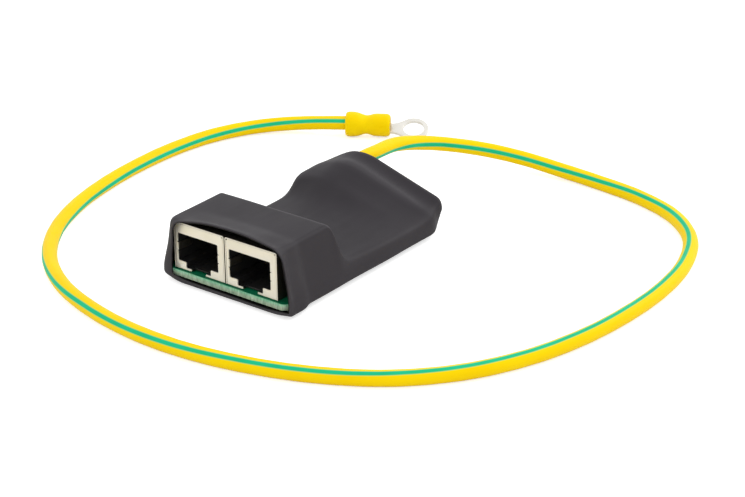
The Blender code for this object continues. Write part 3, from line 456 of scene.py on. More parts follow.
yellow_tone = vinyl.ramp(vinyl.noise(90.0, 3.0), [(0.35, (0.98, 0.67, 0.001)), (0.65, (1.0, 0.71, 0.002))])
green_tone = vinyl.ramp(vinyl.noise(120.0, 3.0), [(0.3, (0.004, 0.50, 0.24)), (0.7, (0.008, 0.58, 0.30))])
with_border = vinyl.mix(border_share, yellow_tone, BORDER_COLOUR)
vinyl.shade("Base Color", vinyl.mix(stripe_share, with_border, green_tone))
vinyl.shade("Specular IOR Level", VINYL_SPECULAR)
vinyl.shade("Specular Tint", VINYL_TINT)

# %% [markdown]
# ## The earth wire: shape
# Its route is the one that the CAD solid follows: down a slope out of the sleeve's rear, a wide loop flat on
# the table round the front, and up into the terminal. The photograph shows it from end to end. Here the same
# curve gets a finer round section with a slight unevenness, and each vertex keeps its turn from a stripe's
# middle. The twist was read from the photograph at places along the wire.

# %% Wire shape
CABLE_ROUTE = (
    (-8.5, 39.4, 12.09), (-9.0, 48.4, 11.13), (-7.3, 56.9, 9.20), (-3.1, 64.6, 7.15),
    (4.1, 71.2, 5.18), (13.0, 75.3, 3.54), (23.8, 76.9, 2.34), (35.8, 76.6, 1.92),
    (49.6, 74.4, 1.92), (62.5, 69.2, 1.92), (72.7, 59.7, 1.92), (79.0, 46.2, 1.92),
    (81.8, 31.5, 1.92), (82.1, 15.5, 1.92), (80.3, -0.4, 1.92), (76.0, -15.8, 1.92),
    (68.5, -29.9, 1.92), (57.6, -41.5, 1.92), (43.9, -49.8, 1.92), (28.9, -55.2, 1.92),
    (13.2, -58.1, 1.92), (-2.8, -58.2, 1.92), (-18.5, -55.5, 1.92), (-33.5, -50.0, 1.92),
    (-46.6, -40.9, 1.92), (-56.7, -28.5, 1.92), (-63.4, -14.0, 1.92), (-67.1, 0.5, 1.92),
    (-68.9, 15.4, 1.92), (-68.9, 29.4, 1.92), (-66.8, 42.2, 1.92), (-61.7, 52.9, 2.08),
    (-53.9, 60.6, 2.58),
)
CABLE_X = -8.2
EXIT = (CABLE_X, 31.45, 12.3)
INNER_ROUTE = (
    (CABLE_X + 0.2, 15.45, 6.15), (CABLE_X + 0.1, 18.45, 7.65), (CABLE_X, 22.45, 8.9), (CABLE_X, 26.45, 10.5),
)
TERMINAL_PLACE = Vector((-40.5, 67.0, 3.55))
TERMINAL_TURN = math.radians(33.2)
TERMINAL_DIP = math.radians(0.9)
TERMINAL_ROLL = math.radians(21.0)
CABLE_IN_INSULATOR = 5.0
CABLE_LIFT = Vector((0.0, 0.0, 0.25))
STRIPE_TURNS = (
    (8, 116), (12, 92), (16, 79), (24, 69), (32, 61), (40, 50), (44, 43), (52, 32), (60, 17), (92, -9),
    (104, -16), (116, -25), (124, -34), (136, -37), (144, -47), (152, -53), (160, -53), (168, -66),
    (182, -80), (190, -88), (196, -92), (204, -101), (212, -103), (220, -108), (228, -116), (236, -127),
)
TURN_STEPS = 240
PATH_POINTS = 420
WIRE_AROUND = 40


def terminal_point(along):
    """A place on the terminal's axis."""
    step = Vector((
        math.cos(TERMINAL_TURN) * math.cos(TERMINAL_DIP),
        math.sin(TERMINAL_TURN) * math.cos(TERMINAL_DIP),
        -math.sin(TERMINAL_DIP),
    ))
    return TERMINAL_PLACE + step * along


def wire_rings(path, radius, around):
    """Rings round a path on a frame that keeps to the vertical, and the turn of each point from the top."""
    along = np.gradient(path, axis=0)
    along /= np.linalg.norm(along, axis=1)[:, None]
    up = np.array((0.0, 0.0, 1.0)) - along * along[:, 2:3]
    up /= np.linalg.norm(up, axis=1)[:, None]
    side = np.cross(along, up)
    turns = np.linspace(0.0, 2 * math.pi, around, endpoint=False)
    rings = [path + radius[:, None] * (math.cos(turn) * up + math.sin(turn) * side) for turn in turns]
    return np.stack(rings, axis=1), turns


whole_route = [*INNER_ROUTE, EXIT, *CABLE_ROUTE]
whole_route += [tuple(terminal_point(along) + CABLE_LIFT) for along in (0.0, CABLE_IN_INSULATOR)]
wire_path = smooth_path(whole_route, PATH_POINTS)
wire_run = np.concatenate(([0.0], np.cumsum(np.linalg.norm(np.diff(wire_path, axis=0), axis=1))))
wire_length = wire_run[-1]
exit_run = wire_run[np.argmin(np.linalg.norm(wire_path - np.array(EXIT), axis=1))]
outside_length = wire_length - CABLE_IN_INSULATOR - exit_run
wire_radius = CABLE_DIAMETER / 2 + 0.012 * np.sin(wire_run * 0.9) + 0.010 * np.sin(wire_run * 0.31 + 1.0)
rings, turns = wire_rings(wire_path, wire_radius, WIRE_AROUND)
share = (wire_run - exit_run) / outside_length * TURN_STEPS
twist = np.radians(np.interp(share, *zip(*STRIPE_TURNS)))
points = rings.reshape(-1, 3)
faces = tube_faces(len(wire_path), WIRE_AROUND)
faces.append(tuple(range(WIRE_AROUND))[::-1])
faces.append(tuple(range(len(points) - WIRE_AROUND, len(points))))
wire_piece = mesh_piece("earth_wire", points, faces, vinyl.material)
turn_from_stripe = turns[None, :] - twist[:, None]
stored = np.zeros((len(points), 3), np.float32)
stored[:, 0] = np.cos(turn_from_stripe).ravel()
stored[:, 1] = np.sin(turn_from_stripe).ravel()
attribute = wire_piece.data.attributes.new("stripe_turn", "FLOAT_VECTOR", "POINT")
attribute.data.foreach_set("vector", stored.ravel())
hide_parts("ground_cable")
print(f"earth wire {wire_length:.1f} mm long, {outside_length:.1f} mm of it outside the sleeve")

# %% [markdown]
# ## The heat-shrunk sleeve: finish
# Shrunk polyolefin film is a satin charcoal with a fine orange-peel grain, faint lines along the way it was
# drawn, and dull rubbed patches. Where it bends sharply over an edge or a fold, a paler colour is painted on
# as a painted highlight, which follows a value stored on the mesh: how sharply the film bends there. Inside,
# the film is painted near black as painted shade, because little light reaches it.

# %% Sleeve finish
# Painted highlight: this paler colour stands in for the film's sheen where it bends sharply
PAINTED_HIGHLIGHT_COLOUR = (0.055, 0.050, 0.057, 1.0)
film = Finish(
    "black_heat_shrink_film", (0.027, 0.024, 0.028), 0.52,
    tones=((55.0, 4.0), (0.0215, 0.0180, 0.0225), (0.0270, 0.0230, 0.0285)),
    dull=((320.0, 5.0, (1.0, 0.3, 1.0)), 0.46, 0.60),
    grains=[
        ((1500.0, 3.0), 0.02, 0.35), ((420.0, 4.0, (1.0, 0.12, 1.0)), 0.05, 0.3), ((120.0, 2.0), 0.12, 0.3),
    ],
)
# How much of the painted highlight each point gets, from the value stored on the mesh
painted_highlight_share = film.spread(film.attribute("painted_highlight", "Fac"), 0.0, 0.8, 0.05, 1.0)
film.shade("Base Color", film.mix(painted_highlight_share, film.tone, PAINTED_HIGHLIGHT_COLOUR))
film.shade("Specular IOR Level", 0.25)
# Painted shade: the inside of the film is painted near black, because light hardly reaches it
shaded_film_inside = Finish(
    "inside_of_the_film_painted_dark", (0.008, 0.007, 0.008), 0.7,
    dull=((600.0, 3.0), 0.6, 0.85), grains=[((900.0, 3.0), 0.03, 0.4)],
)
shaded_film_inside.shade("Specular IOR Level", 0.2)

# %% [markdown]
# ## The heat-shrunk sleeve: shape
# The sleeve began as a round tube and was shrunk over the board, so every section is one closed loop that is
# pulled tight over whatever stands highest. It is made as a loft of rounded sections: each station along the
# board names a foot, two points at the board's edge, a shoulder and a crown on both sides, and every corner
# has its own reach. The solid uses the same stations with few rings, and here they are cut fine enough to bow
# the side walls inwards between the board's edge and the sockets' shoulder, as a film under tension does.

# %% Sleeve stations
EDGE = 19.75
SIDE = 16.7
ROOF = 16.65
LOW = 1.65
HIGH = 3.85
ROOF_REAR = 18.05
VALLEY = 6.55
TUBE_ROOF = 10.65
TUBE_SIDE = 18.45
CREST = 15.05
SLEEVE_REAR = 61.0
LIP_AHEAD = 1.9
TIGHT = (1.6, 0.8, 0.8, 1.1, 4.0)
SLOPE = (1.6, 0.8, 1.0, 1.6, 3.0)
ROUND_TUBE = (1.6, 0.8, 1.0, 3.6, 3.0)


def section(left_y, right_y, left, right, reach):
    """One station. Each side has foot, low, high, shoulder and crown as (out, level)."""
    return {
        "ends": np.array((left_y, right_y), float),
        "corners": np.array(list(right) + [(-x, z) for x, z in reversed(left)], float),
        "reach": np.array(list(reach) + list(reversed(reach)), float),
    }


def placed(shoulder, crown, offsets):
    """The five corners of a side, at their offsets from the board's edge, a shoulder and a crown."""
    base = ((EDGE, 0.0), (EDGE, LOW), (EDGE, HIGH), shoulder, crown)
    return [(x + out, z + up) for (x, z), (out, up) in zip(base, offsets)]


def jack_stations():
    """Round the jacks, where both sides are offsets from the jacks' upper corner: y on the left and on the
    right, the reach of the corners, and the offsets of the left and of the right side."""
    rows = (
        (0.35 - LIP_AHEAD, 0.7 - LIP_AHEAD, (3.0, 0.9, 3.0, 3.4, 5.0),
         ((-7.75, 1.5), (-3.8, 0.5), (-3.6, 1.0), (-1.5, -0.1), (-12.2, 2.3)),
         ((-5.7, 1.1), (0.9, 0.1), (1.1, 4.0), (2.0, 0.9), (-9.4, 2.5))),
        (1.0 - LIP_AHEAD, 1.5 - LIP_AHEAD, (2.0, 0.9, 1.2, 2.6, 5.0),
         ((-5.7, 0.45), (-1.3, 0.0), (-1.3, 0.0), (-1.1, -0.2), (-12.2, 2.1)),
         ((-4.7, 0.3), (0.9, -0.6), (0.9, 1.5), (1.6, 0.6), (-8.5, 2.3))),
        (0.0, 0.5, (1.6, 0.9, 0.9, 1.5, 5.0),
         ((-4.0, 0.0), (0.1, -0.2), (0.0, -0.1), (0.05, 0.0), (-11.7, 1.5)),
         ((-2.6, 0.0), (0.7, -0.6), (0.8, 0.0), (0.9, 0.4), (-7.7, 1.9))),
        (4.4, 5.2, TIGHT,
         ((-3.4, 0.0), (0.0, 0.0), (0.0, 0.0), (0.0, 0.0), (-10.7, 0.7)),
         ((-1.9, 0.0), (0.6, -0.6), (0.5, 0.0), (0.3, 0.1), (-8.2, 0.8))),
    )
    corner = (SIDE, ROOF)
    return [
        section(left_y, right_y, placed(corner, corner, left), placed(corner, corner, right), reach)
        for left_y, right_y, reach, left, right in rows
    ]


def middle_stations():
    """Behind the jacks and in the valley, where both sides share a shoulder: y, how far in the foot is, the
    shoulder, the crowns' level and the reach. Then over the gas tube at the left and over the earth wire: y
    from the rear, the left shoulder and crown, the right shoulder and crown, and the reach."""
    edge = ((EDGE, LOW - 0.25), (EDGE, HIGH))
    shared = (
        (7.0, 3.0, (SIDE, ROOF), ROOF + 0.3, TIGHT),
        (ROOF_REAR - 0.3, 3.2, (SIDE, ROOF + 0.15), ROOF + 0.2, TIGHT),
        (ROOF_REAR + 0.7, 3.3, (SIDE + 0.3, ROOF - 0.6), ROOF - 0.5, TIGHT),
        (ROOF_REAR + 1.5, 3.4, (SIDE + 1.1, ROOF - 3.8), ROOF - 4.0, SLOPE),
        (ROOF_REAR + 2.7, 3.6, (SIDE + 1.7, VALLEY + 2.4), VALLEY + 2.2, SLOPE),
        (ROOF_REAR + 4.7, 3.8, (EDGE - 1.25, VALLEY + 0.3), VALLEY + 0.6, SLOPE),
        (ROOF_REAR + 9.0, 3.8, (EDGE - 1.35, VALLEY - 0.15), VALLEY + 0.25, SLOPE),
    )
    climbing = (
        (-25.0, (EDGE - 1.45, VALLEY - 0.35), (-CABLE_X, VALLEY + 0.3),
         (EDGE - 1.05, VALLEY - 0.5), (SIDE - 10.7, VALLEY + 0.2), SLOPE),
        (-19.0, (EDGE - 1.55, VALLEY - 0.2), (-CABLE_X, VALLEY + 1.3),
         (EDGE - 1.05, VALLEY - 0.7), (5.0, VALLEY + 0.8), SLOPE),
        (-16.0, (EDGE - 1.65, VALLEY + 0.6), (0.8 - CABLE_X, VALLEY + 2.6),
         (EDGE - 1.05, VALLEY - 0.7), (1.5, VALLEY + 2.1), SLOPE),
        (-13.2, (TUBE_SIDE - 0.3, VALLEY + 2.7), (1.0 - CABLE_X, VALLEY + 4.5),
         (EDGE - 1.05, VALLEY - 0.7), (-1.0, VALLEY + 3.9), SLOPE),
        (-11.6, (TUBE_SIDE, TUBE_ROOF), (1.3 - CABLE_X, TUBE_ROOF + 1.4),
         (EDGE - 1.05, VALLEY - 0.6), (-2.5, TUBE_ROOF + 0.5), ROUND_TUBE),
        (-8.0, (TUBE_SIDE, TUBE_ROOF + 0.3), (1.3 - CABLE_X, CREST - 1.7),
         (EDGE - 1.05, VALLEY - 0.3), (-4.0, CREST - 1.9), ROUND_TUBE),
        (-5.0, (TUBE_SIDE, TUBE_ROOF + 0.8), (1.3 - CABLE_X, CREST - 0.8),
         (EDGE - 0.9, VALLEY + 0.2), (-4.5, CREST - 0.7), ROUND_TUBE),
    )
    rows = [
        (y, foot, shoulder, (SIDE - 10.7, crown), shoulder, (SIDE - 8.7, crown), reach)
        for y, foot, shoulder, crown, reach in shared
    ]
    rows += [(SLEEVE_REAR + y, 3.8, *rest) for y, *rest in climbing]
    return [
        section(
            y, y, ((EDGE - foot, 0.0), *edge, left_shoulder, left_crown),
            ((EDGE - foot, 0.0), *edge, right_shoulder, right_crown), reach,
        )
        for y, foot, left_shoulder, left_crown, right_shoulder, right_crown, reach in rows
    ]


def rear_stations():
    """The rear mouth, which lifts off the table: y from the rear, the reach and the offsets of both sides."""
    rows = (
        (-2.7, SLOPE,
         ((-4.75, 0.4), (-1.05, 0.2), (-1.05, 0.4), (-0.9, 0.6), (1.3, -0.7)),
         ((-5.75, 0.5), (-1.15, 0.4), (-1.15, 0.5), (-1.95, 0.6), (-4.5, -0.8))),
        (0.0, (1.6, 0.9, 0.9, 1.6, 3.0),
         ((-6.75, 3.2), (-1.75, 3.0), (-2.0, 2.3), (-4.0, 1.9), (1.6, -0.1)),
         ((-6.75, 3.4), (-1.85, 3.5), (-1.45, 2.3), (-2.15, 1.9), (-4.5, 0.1))),
    )
    return [
        section(
            SLEEVE_REAR + y, SLEEVE_REAR + y,
            placed((TUBE_SIDE, TUBE_ROOF), (-CABLE_X, CREST), left),
            placed((EDGE, VALLEY), (0.0, CREST), right), reach,
        )
        for y, reach, left, right in rows
    ]


# %% [markdown]
# The stations are joined by slopes that never swing past them, so the film stays tight between stations.
# Round each ring the corners are parabolas, and the straight stretches between them stay straight.

# %% Sleeve loft
ARC_STEPS = 8
SIDE_STEPS = 6
RING_PITCH = 0.55


def ring_points(corners, reach):
    """A closed outline with each corner rounded by a parabola that starts its reach away."""
    count = len(corners)
    starts = []
    ends = []
    for i in range(count):
        for other, found in ((i - 1, starts), ((i + 1) % count, ends)):
            way = corners[other] - corners[i]
            length = np.linalg.norm(way)
            found.append(corners[i] + way / length * min(reach[i], 0.45 * length))
    points = []
    for i in range(count):
        for step in range(ARC_STEPS + 1):
            t = step / ARC_STEPS
            points.append((1 - t) ** 2 * starts[i] + 2 * t * (1 - t) * corners[i] + t**2 * ends[i])
        for step in range(1, SIDE_STEPS):
            t = step / SIDE_STEPS
            points.append(ends[i] * (1 - t) + starts[(i + 1) % count] * t)
    return np.array(points)


def monotone_slopes(values):
    """Slopes for a curve through values that never swings past them."""
    step = np.diff(values, axis=0)
    slope = np.zeros_like(values)
    before = step[:-1]
    after = step[1:]
    same = before * after > 0
    slope[1:-1] = np.where(same, 2 * before * after / np.where(same, before + after, 1.0), 0.0)
    slope[0] = step[0]
    slope[-1] = step[-1]
    return slope


def loft_rings(sections, steps_between):
    """Rings of points on the sleeve, with the given number of rings from each station to the next."""
    keys = ("ends", "corners", "reach")
    values = {key: np.array([station[key] for station in sections]) for key in keys}
    slopes = {key: monotone_slopes(values[key]) for key in keys}
    rings = []
    for i, steps in enumerate(steps_between):
        for step in range(steps + (i == len(steps_between) - 1)):
            ends, corners, reach = (
                hermite(step / steps, values[key][i], slopes[key][i], values[key][i + 1], slopes[key][i + 1])
                for key in keys
            )
            outline = ring_points(corners, reach)
            across = np.clip(outline[:, 0] / (2 * EDGE) + 0.5, 0, 1)
            y = FACE_Y + ends[0] * (1 - across) + ends[1] * across
            rings.append(np.column_stack((outline[:, 0], y, outline[:, 1])))
    return np.array(rings)


stations = jack_stations() + middle_stations() + rear_stations()
gaps = np.diff([station["ends"].mean() for station in stations])
outer = loft_rings(stations, [max(3, round(gap / RING_PITCH)) for gap in gaps])
ring_count, around = outer.shape[:2]
print(f"sleeve: {ring_count} rings of {around} points")


# %% [markdown]
# Warm film bends in soft curves, so the loft is eased along its length first. Between two supports the film
# draws in, so the side walls bow. It is never quite even, so a slow wave runs over its whole surface. It
# swells a little over the front end of the gas tube and sinks behind it, and a soft fold runs across it
# before the rear mouth. All of these move the points along the surface's normal.

# %% Sleeve relief
EASING_PASSES = 6
BOW = 0.55
BOW_LEVEL = 10.0
BOW_BEHIND = 7.0
UNEVEN = 0.09
WAVE_SIZE = 17.0
WAVE_SINES = 7
FOLD_PLACE = 26.0
FOLD_WIDTH = 1.6
FOLD_HEIGHT = 0.4
# Middle, width and height of the swelling over the tube's end and of the hollow behind it
SWELLINGS = (((-18.1, 20.4, 9.6), (3.5, 4.0, 3.6), 0.4), ((-16.3, 27.5, 11.8), (2.5, 2.5, 2.0), -0.3))


def grid_normals(grid):
    """Outward normals of a grid of rings."""
    along = np.gradient(grid, axis=0)
    round_it = (np.roll(grid, -1, axis=1) - np.roll(grid, 1, axis=1)) / 2
    normal = np.cross(round_it, along)
    normal /= np.linalg.norm(normal, axis=2)[:, :, None]
    middle = grid.mean(axis=1, keepdims=True)
    if (normal * (grid - middle)).sum() < 0:
        normal = -normal
    return normal


def bell(value, middle, width):
    return np.exp(-(((value - middle) / width) ** 2))


def rise(value, start, reach):
    """From nothing at the start to one at its reach."""
    return np.clip((value - start) / reach, 0, 1)


def slow_wave(grid, seed, size):
    """A smooth unevenness built from a few sines in fixed directions."""
    source = np.random.default_rng(seed)
    total = np.zeros(grid.shape[:2])
    for _ in range(WAVE_SINES):
        direction = source.normal(size=3)
        direction /= np.linalg.norm(direction)
        length = size * source.uniform(0.6, 1.8)
        total += np.sin(grid @ direction * 2 * math.pi / length + source.uniform(0, 6.3))
    return total / WAVE_SINES


for _ in range(EASING_PASSES):
    outer[1:-1] = (outer[:-2] + 2 * outer[1:-1] + outer[2:]) / 4
normals = grid_normals(outer)
behind = outer[:, :, 1] - FACE_Y
height = outer[:, :, 2]
wall_share = np.clip(1 - np.abs(normals[:, :, 2]) * 1.6, 0, 1)
fold = bell(outer[:, :, 1], FOLD_PLACE, FOLD_WIDTH) * rise(height, 6.0, 3.0)
fold *= rise(outer[:, :, 0], -11.5, 4.0)
shift = FOLD_HEIGHT * fold
shift -= BOW * wall_share * bell(height, BOW_LEVEL, 4.0) * bell(behind, BOW_BEHIND, 9.0)
shift += UNEVEN * slow_wave(outer, 4, WAVE_SIZE) * np.clip(behind / 4, 0.2, 1.0)
for middle, width, out in SWELLINGS:
    shift += out * bell(outer, np.array(middle), np.array(width)).prod(axis=2)
outer = outer + normals * shift[:, :, None]
outer[:, :, 2] = np.maximum(outer[:, :, 2], 0.0)
normals = grid_normals(outer)

# %% [markdown]
# The film is closed into a real wall: the outside, a half-round rim at each mouth, and the inside a wall's
# thickness further in. The painted highlight compares each point with its neighbours along the length, so the
# paler colour lies on bends that run across the sleeve, high up, along the fold and on both rims.

# %% Sleeve piece
RIM_STEPS = 4
# Strength of the painted highlight on the rims and along the fold
RIM_HIGHLIGHT = 0.7
FOLD_HIGHLIGHT = 0.8


def rim(outer_ring, inner_ring, outward):
    """Points of a half-round rim between the outside and the inside."""
    middle = (outer_ring + inner_ring) / 2
    half = (outer_ring - inner_ring) / 2
    outward = outward / np.linalg.norm(outward, axis=1)[:, None] * np.linalg.norm(half, axis=1)[:, None]
    turns = [math.pi * i / RIM_STEPS for i in range(1, RIM_STEPS)]
    return [middle + half * math.cos(turn) + outward * math.sin(turn) for turn in turns]


inner = outer - normals * WALL
loops = list(outer) + rim(outer[-1], inner[-1], outer[-1] - outer[-2]) + list(inner[::-1])
loops = np.array(loops + rim(inner[0], outer[0], outer[0] - outer[1]))
faces = tube_faces(len(loops), around, loop=True)
sleeve = mesh_piece("shrunk_sleeve", loops.reshape(-1, 3), faces, film.material)
bm = bmesh.new()
bm.from_mesh(sleeve.data)
bmesh.ops.recalc_face_normals(bm, faces=bm.faces)
bm.to_mesh(sleeve.data)
bm.free()

padded = np.concatenate((outer[:1], outer[:1], outer, outer[-1:], outer[-1:]))
along_mean = (padded[:-4] + padded[4:]) / 2
bend = ((outer - along_mean) * normals).sum(axis=2)
# Painted highlight: paler colour where the film bends sharply high up, along the fold and on both rims
painted_highlight = np.maximum(rise(bend, 0.03, 0.14) * rise(outer[:, :, 2], 5.0, 3.0), FOLD_HIGHLIGHT * fold)
painted_highlight[0] = painted_highlight[-1] = RIM_HIGHLIGHT
painted_highlight_all = np.zeros((len(loops), around))
painted_highlight_all[:ring_count] = painted_highlight
painted_highlight_all[ring_count:ring_count + RIM_STEPS - 1] = RIM_HIGHLIGHT
painted_highlight_all[1 - RIM_STEPS:] = RIM_HIGHLIGHT
attribute = sleeve.data.attributes.new("painted_highlight", "FLOAT", "POINT")
attribute.data.foreach_set("value", painted_highlight_all.ravel().astype(np.float32))
# The inside faces get the painted shade
sleeve.data.materials.append(shaded_film_inside.material)
inside_first = (ring_count + RIM_STEPS // 2 - 1) * around
inside_last = (2 * ring_count + RIM_STEPS - 1 + RIM_STEPS // 2 - 1) * around
for number, polygon in enumerate(sleeve.data.polygons):
    polygon.material_index = 1 if inside_first <= number < inside_last else 0
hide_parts("heat_shrink_sleeve")
print(f"sleeve: {len(sleeve.data.polygons)} faces, ridge {painted_highlight.mean():.2f} on average")

# %% [markdown]
# ## Finishes of the other pieces
# The housings and the parts on the board keep their solids and only get a finish. The rest of these finishes
# are for the pieces made below. Each is the plain colour of its material, a little uneven in tone and
# dullness, with the grain that rolling, moulding or plating leaves. Only the dark steel is not: it is painted
# shade for the parts of the shields that the film keeps from the light.

# %% Finishes
ROLLED = (0.2, 1.0, 1.0)
BRUSHED = (0.15, 1.0, 1.0)
tin = Finish(
    "tinned_steel_sheet", (0.90, 0.86, 0.77), 0.42, 0.6,
    ((140.0, 4.0), (0.90, 0.85, 0.73), (0.95, 0.91, 0.81)),
    ((500.0, 5.0, ROLLED), 0.36, 0.50), [((1800.0, 4.0, BRUSHED), 0.01, 0.4)],
)
# Painted shade: the shield's steel much darker, for the parts that the film keeps from the light
shaded_tin = Finish(
    "steel_painted_in_shade", (0.13, 0.12, 0.10), 0.45, 1.0,
    None, ((500.0, 5.0, ROLLED), 0.38, 0.55), [((1800.0, 4.0, BRUSHED), 0.01, 0.4)],
)
moulding = Finish(
    "black_moulded_housing", (0.012, 0.012, 0.012), 0.42, 0.0,
    None, ((900.0, 4.0), 0.34, 0.52), [((3500.0, 2.0), 0.01, 0.5)],
)
mask = Finish(
    "green_solder_mask", (0.002, 0.115, 0.05), 0.3, 0.0,
    ((200.0, 4.0), (0.0015, 0.12, 0.05), (0.003, 0.16, 0.07)), None, [((900.0, 3.0), 0.01, 0.4)],
)
mask.shade("Specular IOR Level", 0.35)
gold = Finish("gold_plated_wire", (0.83, 0.60, 0.26), 0.25, 1.0, None, ((2500.0, 3.0), 0.18, 0.34))
epoxy = Finish(
    "black_epoxy_moulding", (0.014, 0.014, 0.015), 0.5, 0.0,
    None, ((1500.0, 4.0), 0.42, 0.62), [((5000.0, 2.0), 0.012, 0.5)],
)
ceramic = Finish(
    "tube_ceramic_and_caps", (0.72, 0.70, 0.66), 0.4, 0.0,
    None, ((800.0, 4.0), 0.3, 0.5), [((2500.0, 3.0), 0.008, 0.4)],
)
solder = Finish(
    "solder_and_copper", (0.72, 0.70, 0.66), 0.3, 1.0,
    None, ((700.0, 4.0), 0.2, 0.42), [((1400.0, 4.0), 0.03, 0.5)],
)
hood = Finish(
    "yellow_terminal_insulator", (1.0, 0.70, 0.002), 0.40, 0.0,
    ((150.0, 3.0), (0.99, 0.68, 0.001), (1.0, 0.72, 0.002)),
    ((600.0, 4.0), 0.34, 0.50), [((1200.0, 3.0), 0.015, 0.4)],
)
hood.shade("Specular IOR Level", VINYL_SPECULAR)
hood.shade("Specular Tint", VINYL_TINT)
strand_finish = Finish(
    "tinned_copper_strands", (0.80, 0.66, 0.52), 0.3, 1.0,
    None, ((2500.0, 3.0), 0.22, 0.4), [((4000.0, 2.0), 0.01, 0.4)],
)
tinned = Finish(
    "tinned_copper_terminal", (0.76, 0.76, 0.72), 0.3, 0.8,
    ((200.0, 4.0), (0.80, 0.775, 0.71), (0.86, 0.84, 0.785)),
    ((900.0, 4.0), 0.24, 0.38), [((2000.0, 3.0), 0.008, 0.4)],
)
laminate = Finish("pale_glass_epoxy_edge", (0.28, 0.42, 0.30), 0.6)
fibre = laminate.noise(900.0, 5.0, (2.2, 2.2, 0.6))
STOPS = (0.25, 0.5, 0.75)
PALE_FIBRE = ((0.23, 0.35, 0.24), (0.37, 0.50, 0.37), (0.54, 0.64, 0.52))
FRESH_FIBRE = ((0.12, 0.40, 0.23), (0.23, 0.56, 0.36), (0.40, 0.70, 0.50))
pale, fresh = (laminate.ramp(fibre, list(zip(STOPS, tones))) for tones in (PALE_FIBRE, FRESH_FIBRE))
height_up = laminate.node("ShaderNodeSeparateXYZ", {"Vector": laminate.places}).outputs["Z"]
top_share = laminate.spread(height_up, 0.0, 1.0, 2.7 * MM, 3.35 * MM)
laminate.shade("Base Color", laminate.mix(top_share, pale, fresh))
laminate.shade("Roughness", laminate.spread(fibre, 0.45, 0.7))
laminate.bump(laminate.noise(1500.0, 4.0, (1.0, 1.0, 0.4)), 0.03, 0.6)


def finish_node(name, finish, edge=0.0):
    """Gives a CAD node a finish, and softened edges where a width is given."""
    obj = nodes[name]
    for slot in obj.material_slots:
        slot.material = finish.material
    if edge:
        bevel = obj.modifiers.new("soft edges", "BEVEL")
        bevel.width = edge * MM
        bevel.segments = 2
        bevel.limit_method = "ANGLE"
        bevel.angle_limit = math.radians(35)
        bevel.use_clamp_overlap = True


SOFT_EDGE = 0.08
for side_name in JACK_MIDDLES:
    finish_node(f"{side_name}_jack_housing", moulding, SOFT_EDGE)
for number in range(1, 5):
    finish_node(f"suppressor_diode_{number}", epoxy, SOFT_EDGE)
    finish_node(f"diode_bridge_{number}", epoxy, SOFT_EDGE)
finish_node("gas_discharge_tube", ceramic)
finish_node("soldered_core", solder)
finish_node("conductor_tip", solder)

# %% [markdown]
# ## Jack shields
# Each socket is wrapped in one blank of tinned steel: a top and two sides folded as a trough, a back, and a
# face that is folded down between the sides, so a dark line runs round it under the trough's edge and a small
# relief hole is left at each upper corner. The plug opening is punched with slightly rounded corners, and its
# left and right edges carry a spring finger, whose root has a short slit above and below. Two tails go
# through the board. Only what faces the front keeps the bright tin; the rest is painted dark as painted
# shade, where the film keeps light from it.

# %% Jack shields
FACE_GAP = 0.07
FACE_HALF = JACK_WIDTH / 2 - SHEET - FACE_GAP
FACE_TOP = JACK_HEIGHT - SHEET - FACE_GAP
SET_IN = 0.03
RELIEF = 0.32
WINDOW_LOW = (6.0, 5.0)
WINDOW_HIGH = (9.0, 8.0)
FINGER_LOW = 4.6
FINGER_HIGH = 6.6
FINGER_SHEET = 0.22
# A finger from its root, as (out from the opening's edge, behind the face)
FINGER_PATH = (
    (0.3, 0.18), (0.1, 0.18), (-0.02, 0.21), (-0.09, 0.30), (-0.12, 0.45), (-0.15, 1.0), (-0.22, 2.0),
    (-0.36, 3.0), (-0.42, 3.6), (-0.36, 4.2), (-0.2, 4.8),
)
SLIT = 0.22
SLIT_DEPTH = 0.3
TAIL_PLACES = {-1: 9.0, 1: 11.8}
TAIL_OUT = JACK_WIDTH / 2 - SHEET / 2
TAIL_HALF = 0.145
TAIL_LENGTH = 1.6


def face_outline():
    """The face as one outline, because the gap between the toes opens it downwards. It runs up one side of
    the punched opening, with the slits of the finger, down the other and round the sheet."""
    key = KEYWAY_WIDTH / 2
    half = OPENING_WIDTH / 2
    gap = TOE_GAP / 2
    slit = half + SLIT_DEPTH
    side = [
        (gap, 0.0), (gap, TOE_HEIGHT), (key, TOE_HEIGHT), (key, OPENING_LOW), (half, OPENING_LOW),
        (half, FINGER_LOW - SLIT), (slit, FINGER_LOW - SLIT), (slit, FINGER_LOW), (half, FINGER_LOW),
        (half, FINGER_HIGH), (slit, FINGER_HIGH), (slit, FINGER_HIGH + SLIT), (half, FINGER_HIGH + SLIT),
        (half, OPENING_HIGH),
    ]
    radii = [0.0, 0.12, 0.2, 0.15, 0.3, 0.08, 0.08, 0.08, 0.0, 0.0, 0.08, 0.08, 0.08, 0.3]
    corners = [(x + OPENING_SHIFT, z) for x, z in side] + [(-x + OPENING_SHIFT, z) for x, z in side[::-1]]
    low = FACE_TOP - RELIEF
    corners += [
        (-FACE_HALF, 0.0), (-FACE_HALF, low), (-FACE_HALF + RELIEF, low), (-FACE_HALF + RELIEF, FACE_TOP),
        (FACE_HALF - RELIEF, FACE_TOP), (FACE_HALF - RELIEF, low), (FACE_HALF, low), (FACE_HALF, 0.0),
    ]
    return rounded(corners, radii + radii[::-1] + [0.1] + [0.05] * 6 + [0.1], 2)


def trough_outline():
    """The trough's section: sides and top with round folds."""
    half = JACK_WIDTH / 2
    inside = half - SHEET
    under = JACK_HEIGHT - SHEET
    corners = [
        (half, 0.0), (half, JACK_HEIGHT), (-half, JACK_HEIGHT), (-half, 0.0),
        (-inside, 0.0), (-inside, under), (inside, under), (inside, 0.0),
    ]
    return rounded(corners, [0.05, 0.55, 0.55, 0.05, 0.05, 0.25, 0.25, 0.05], 4)


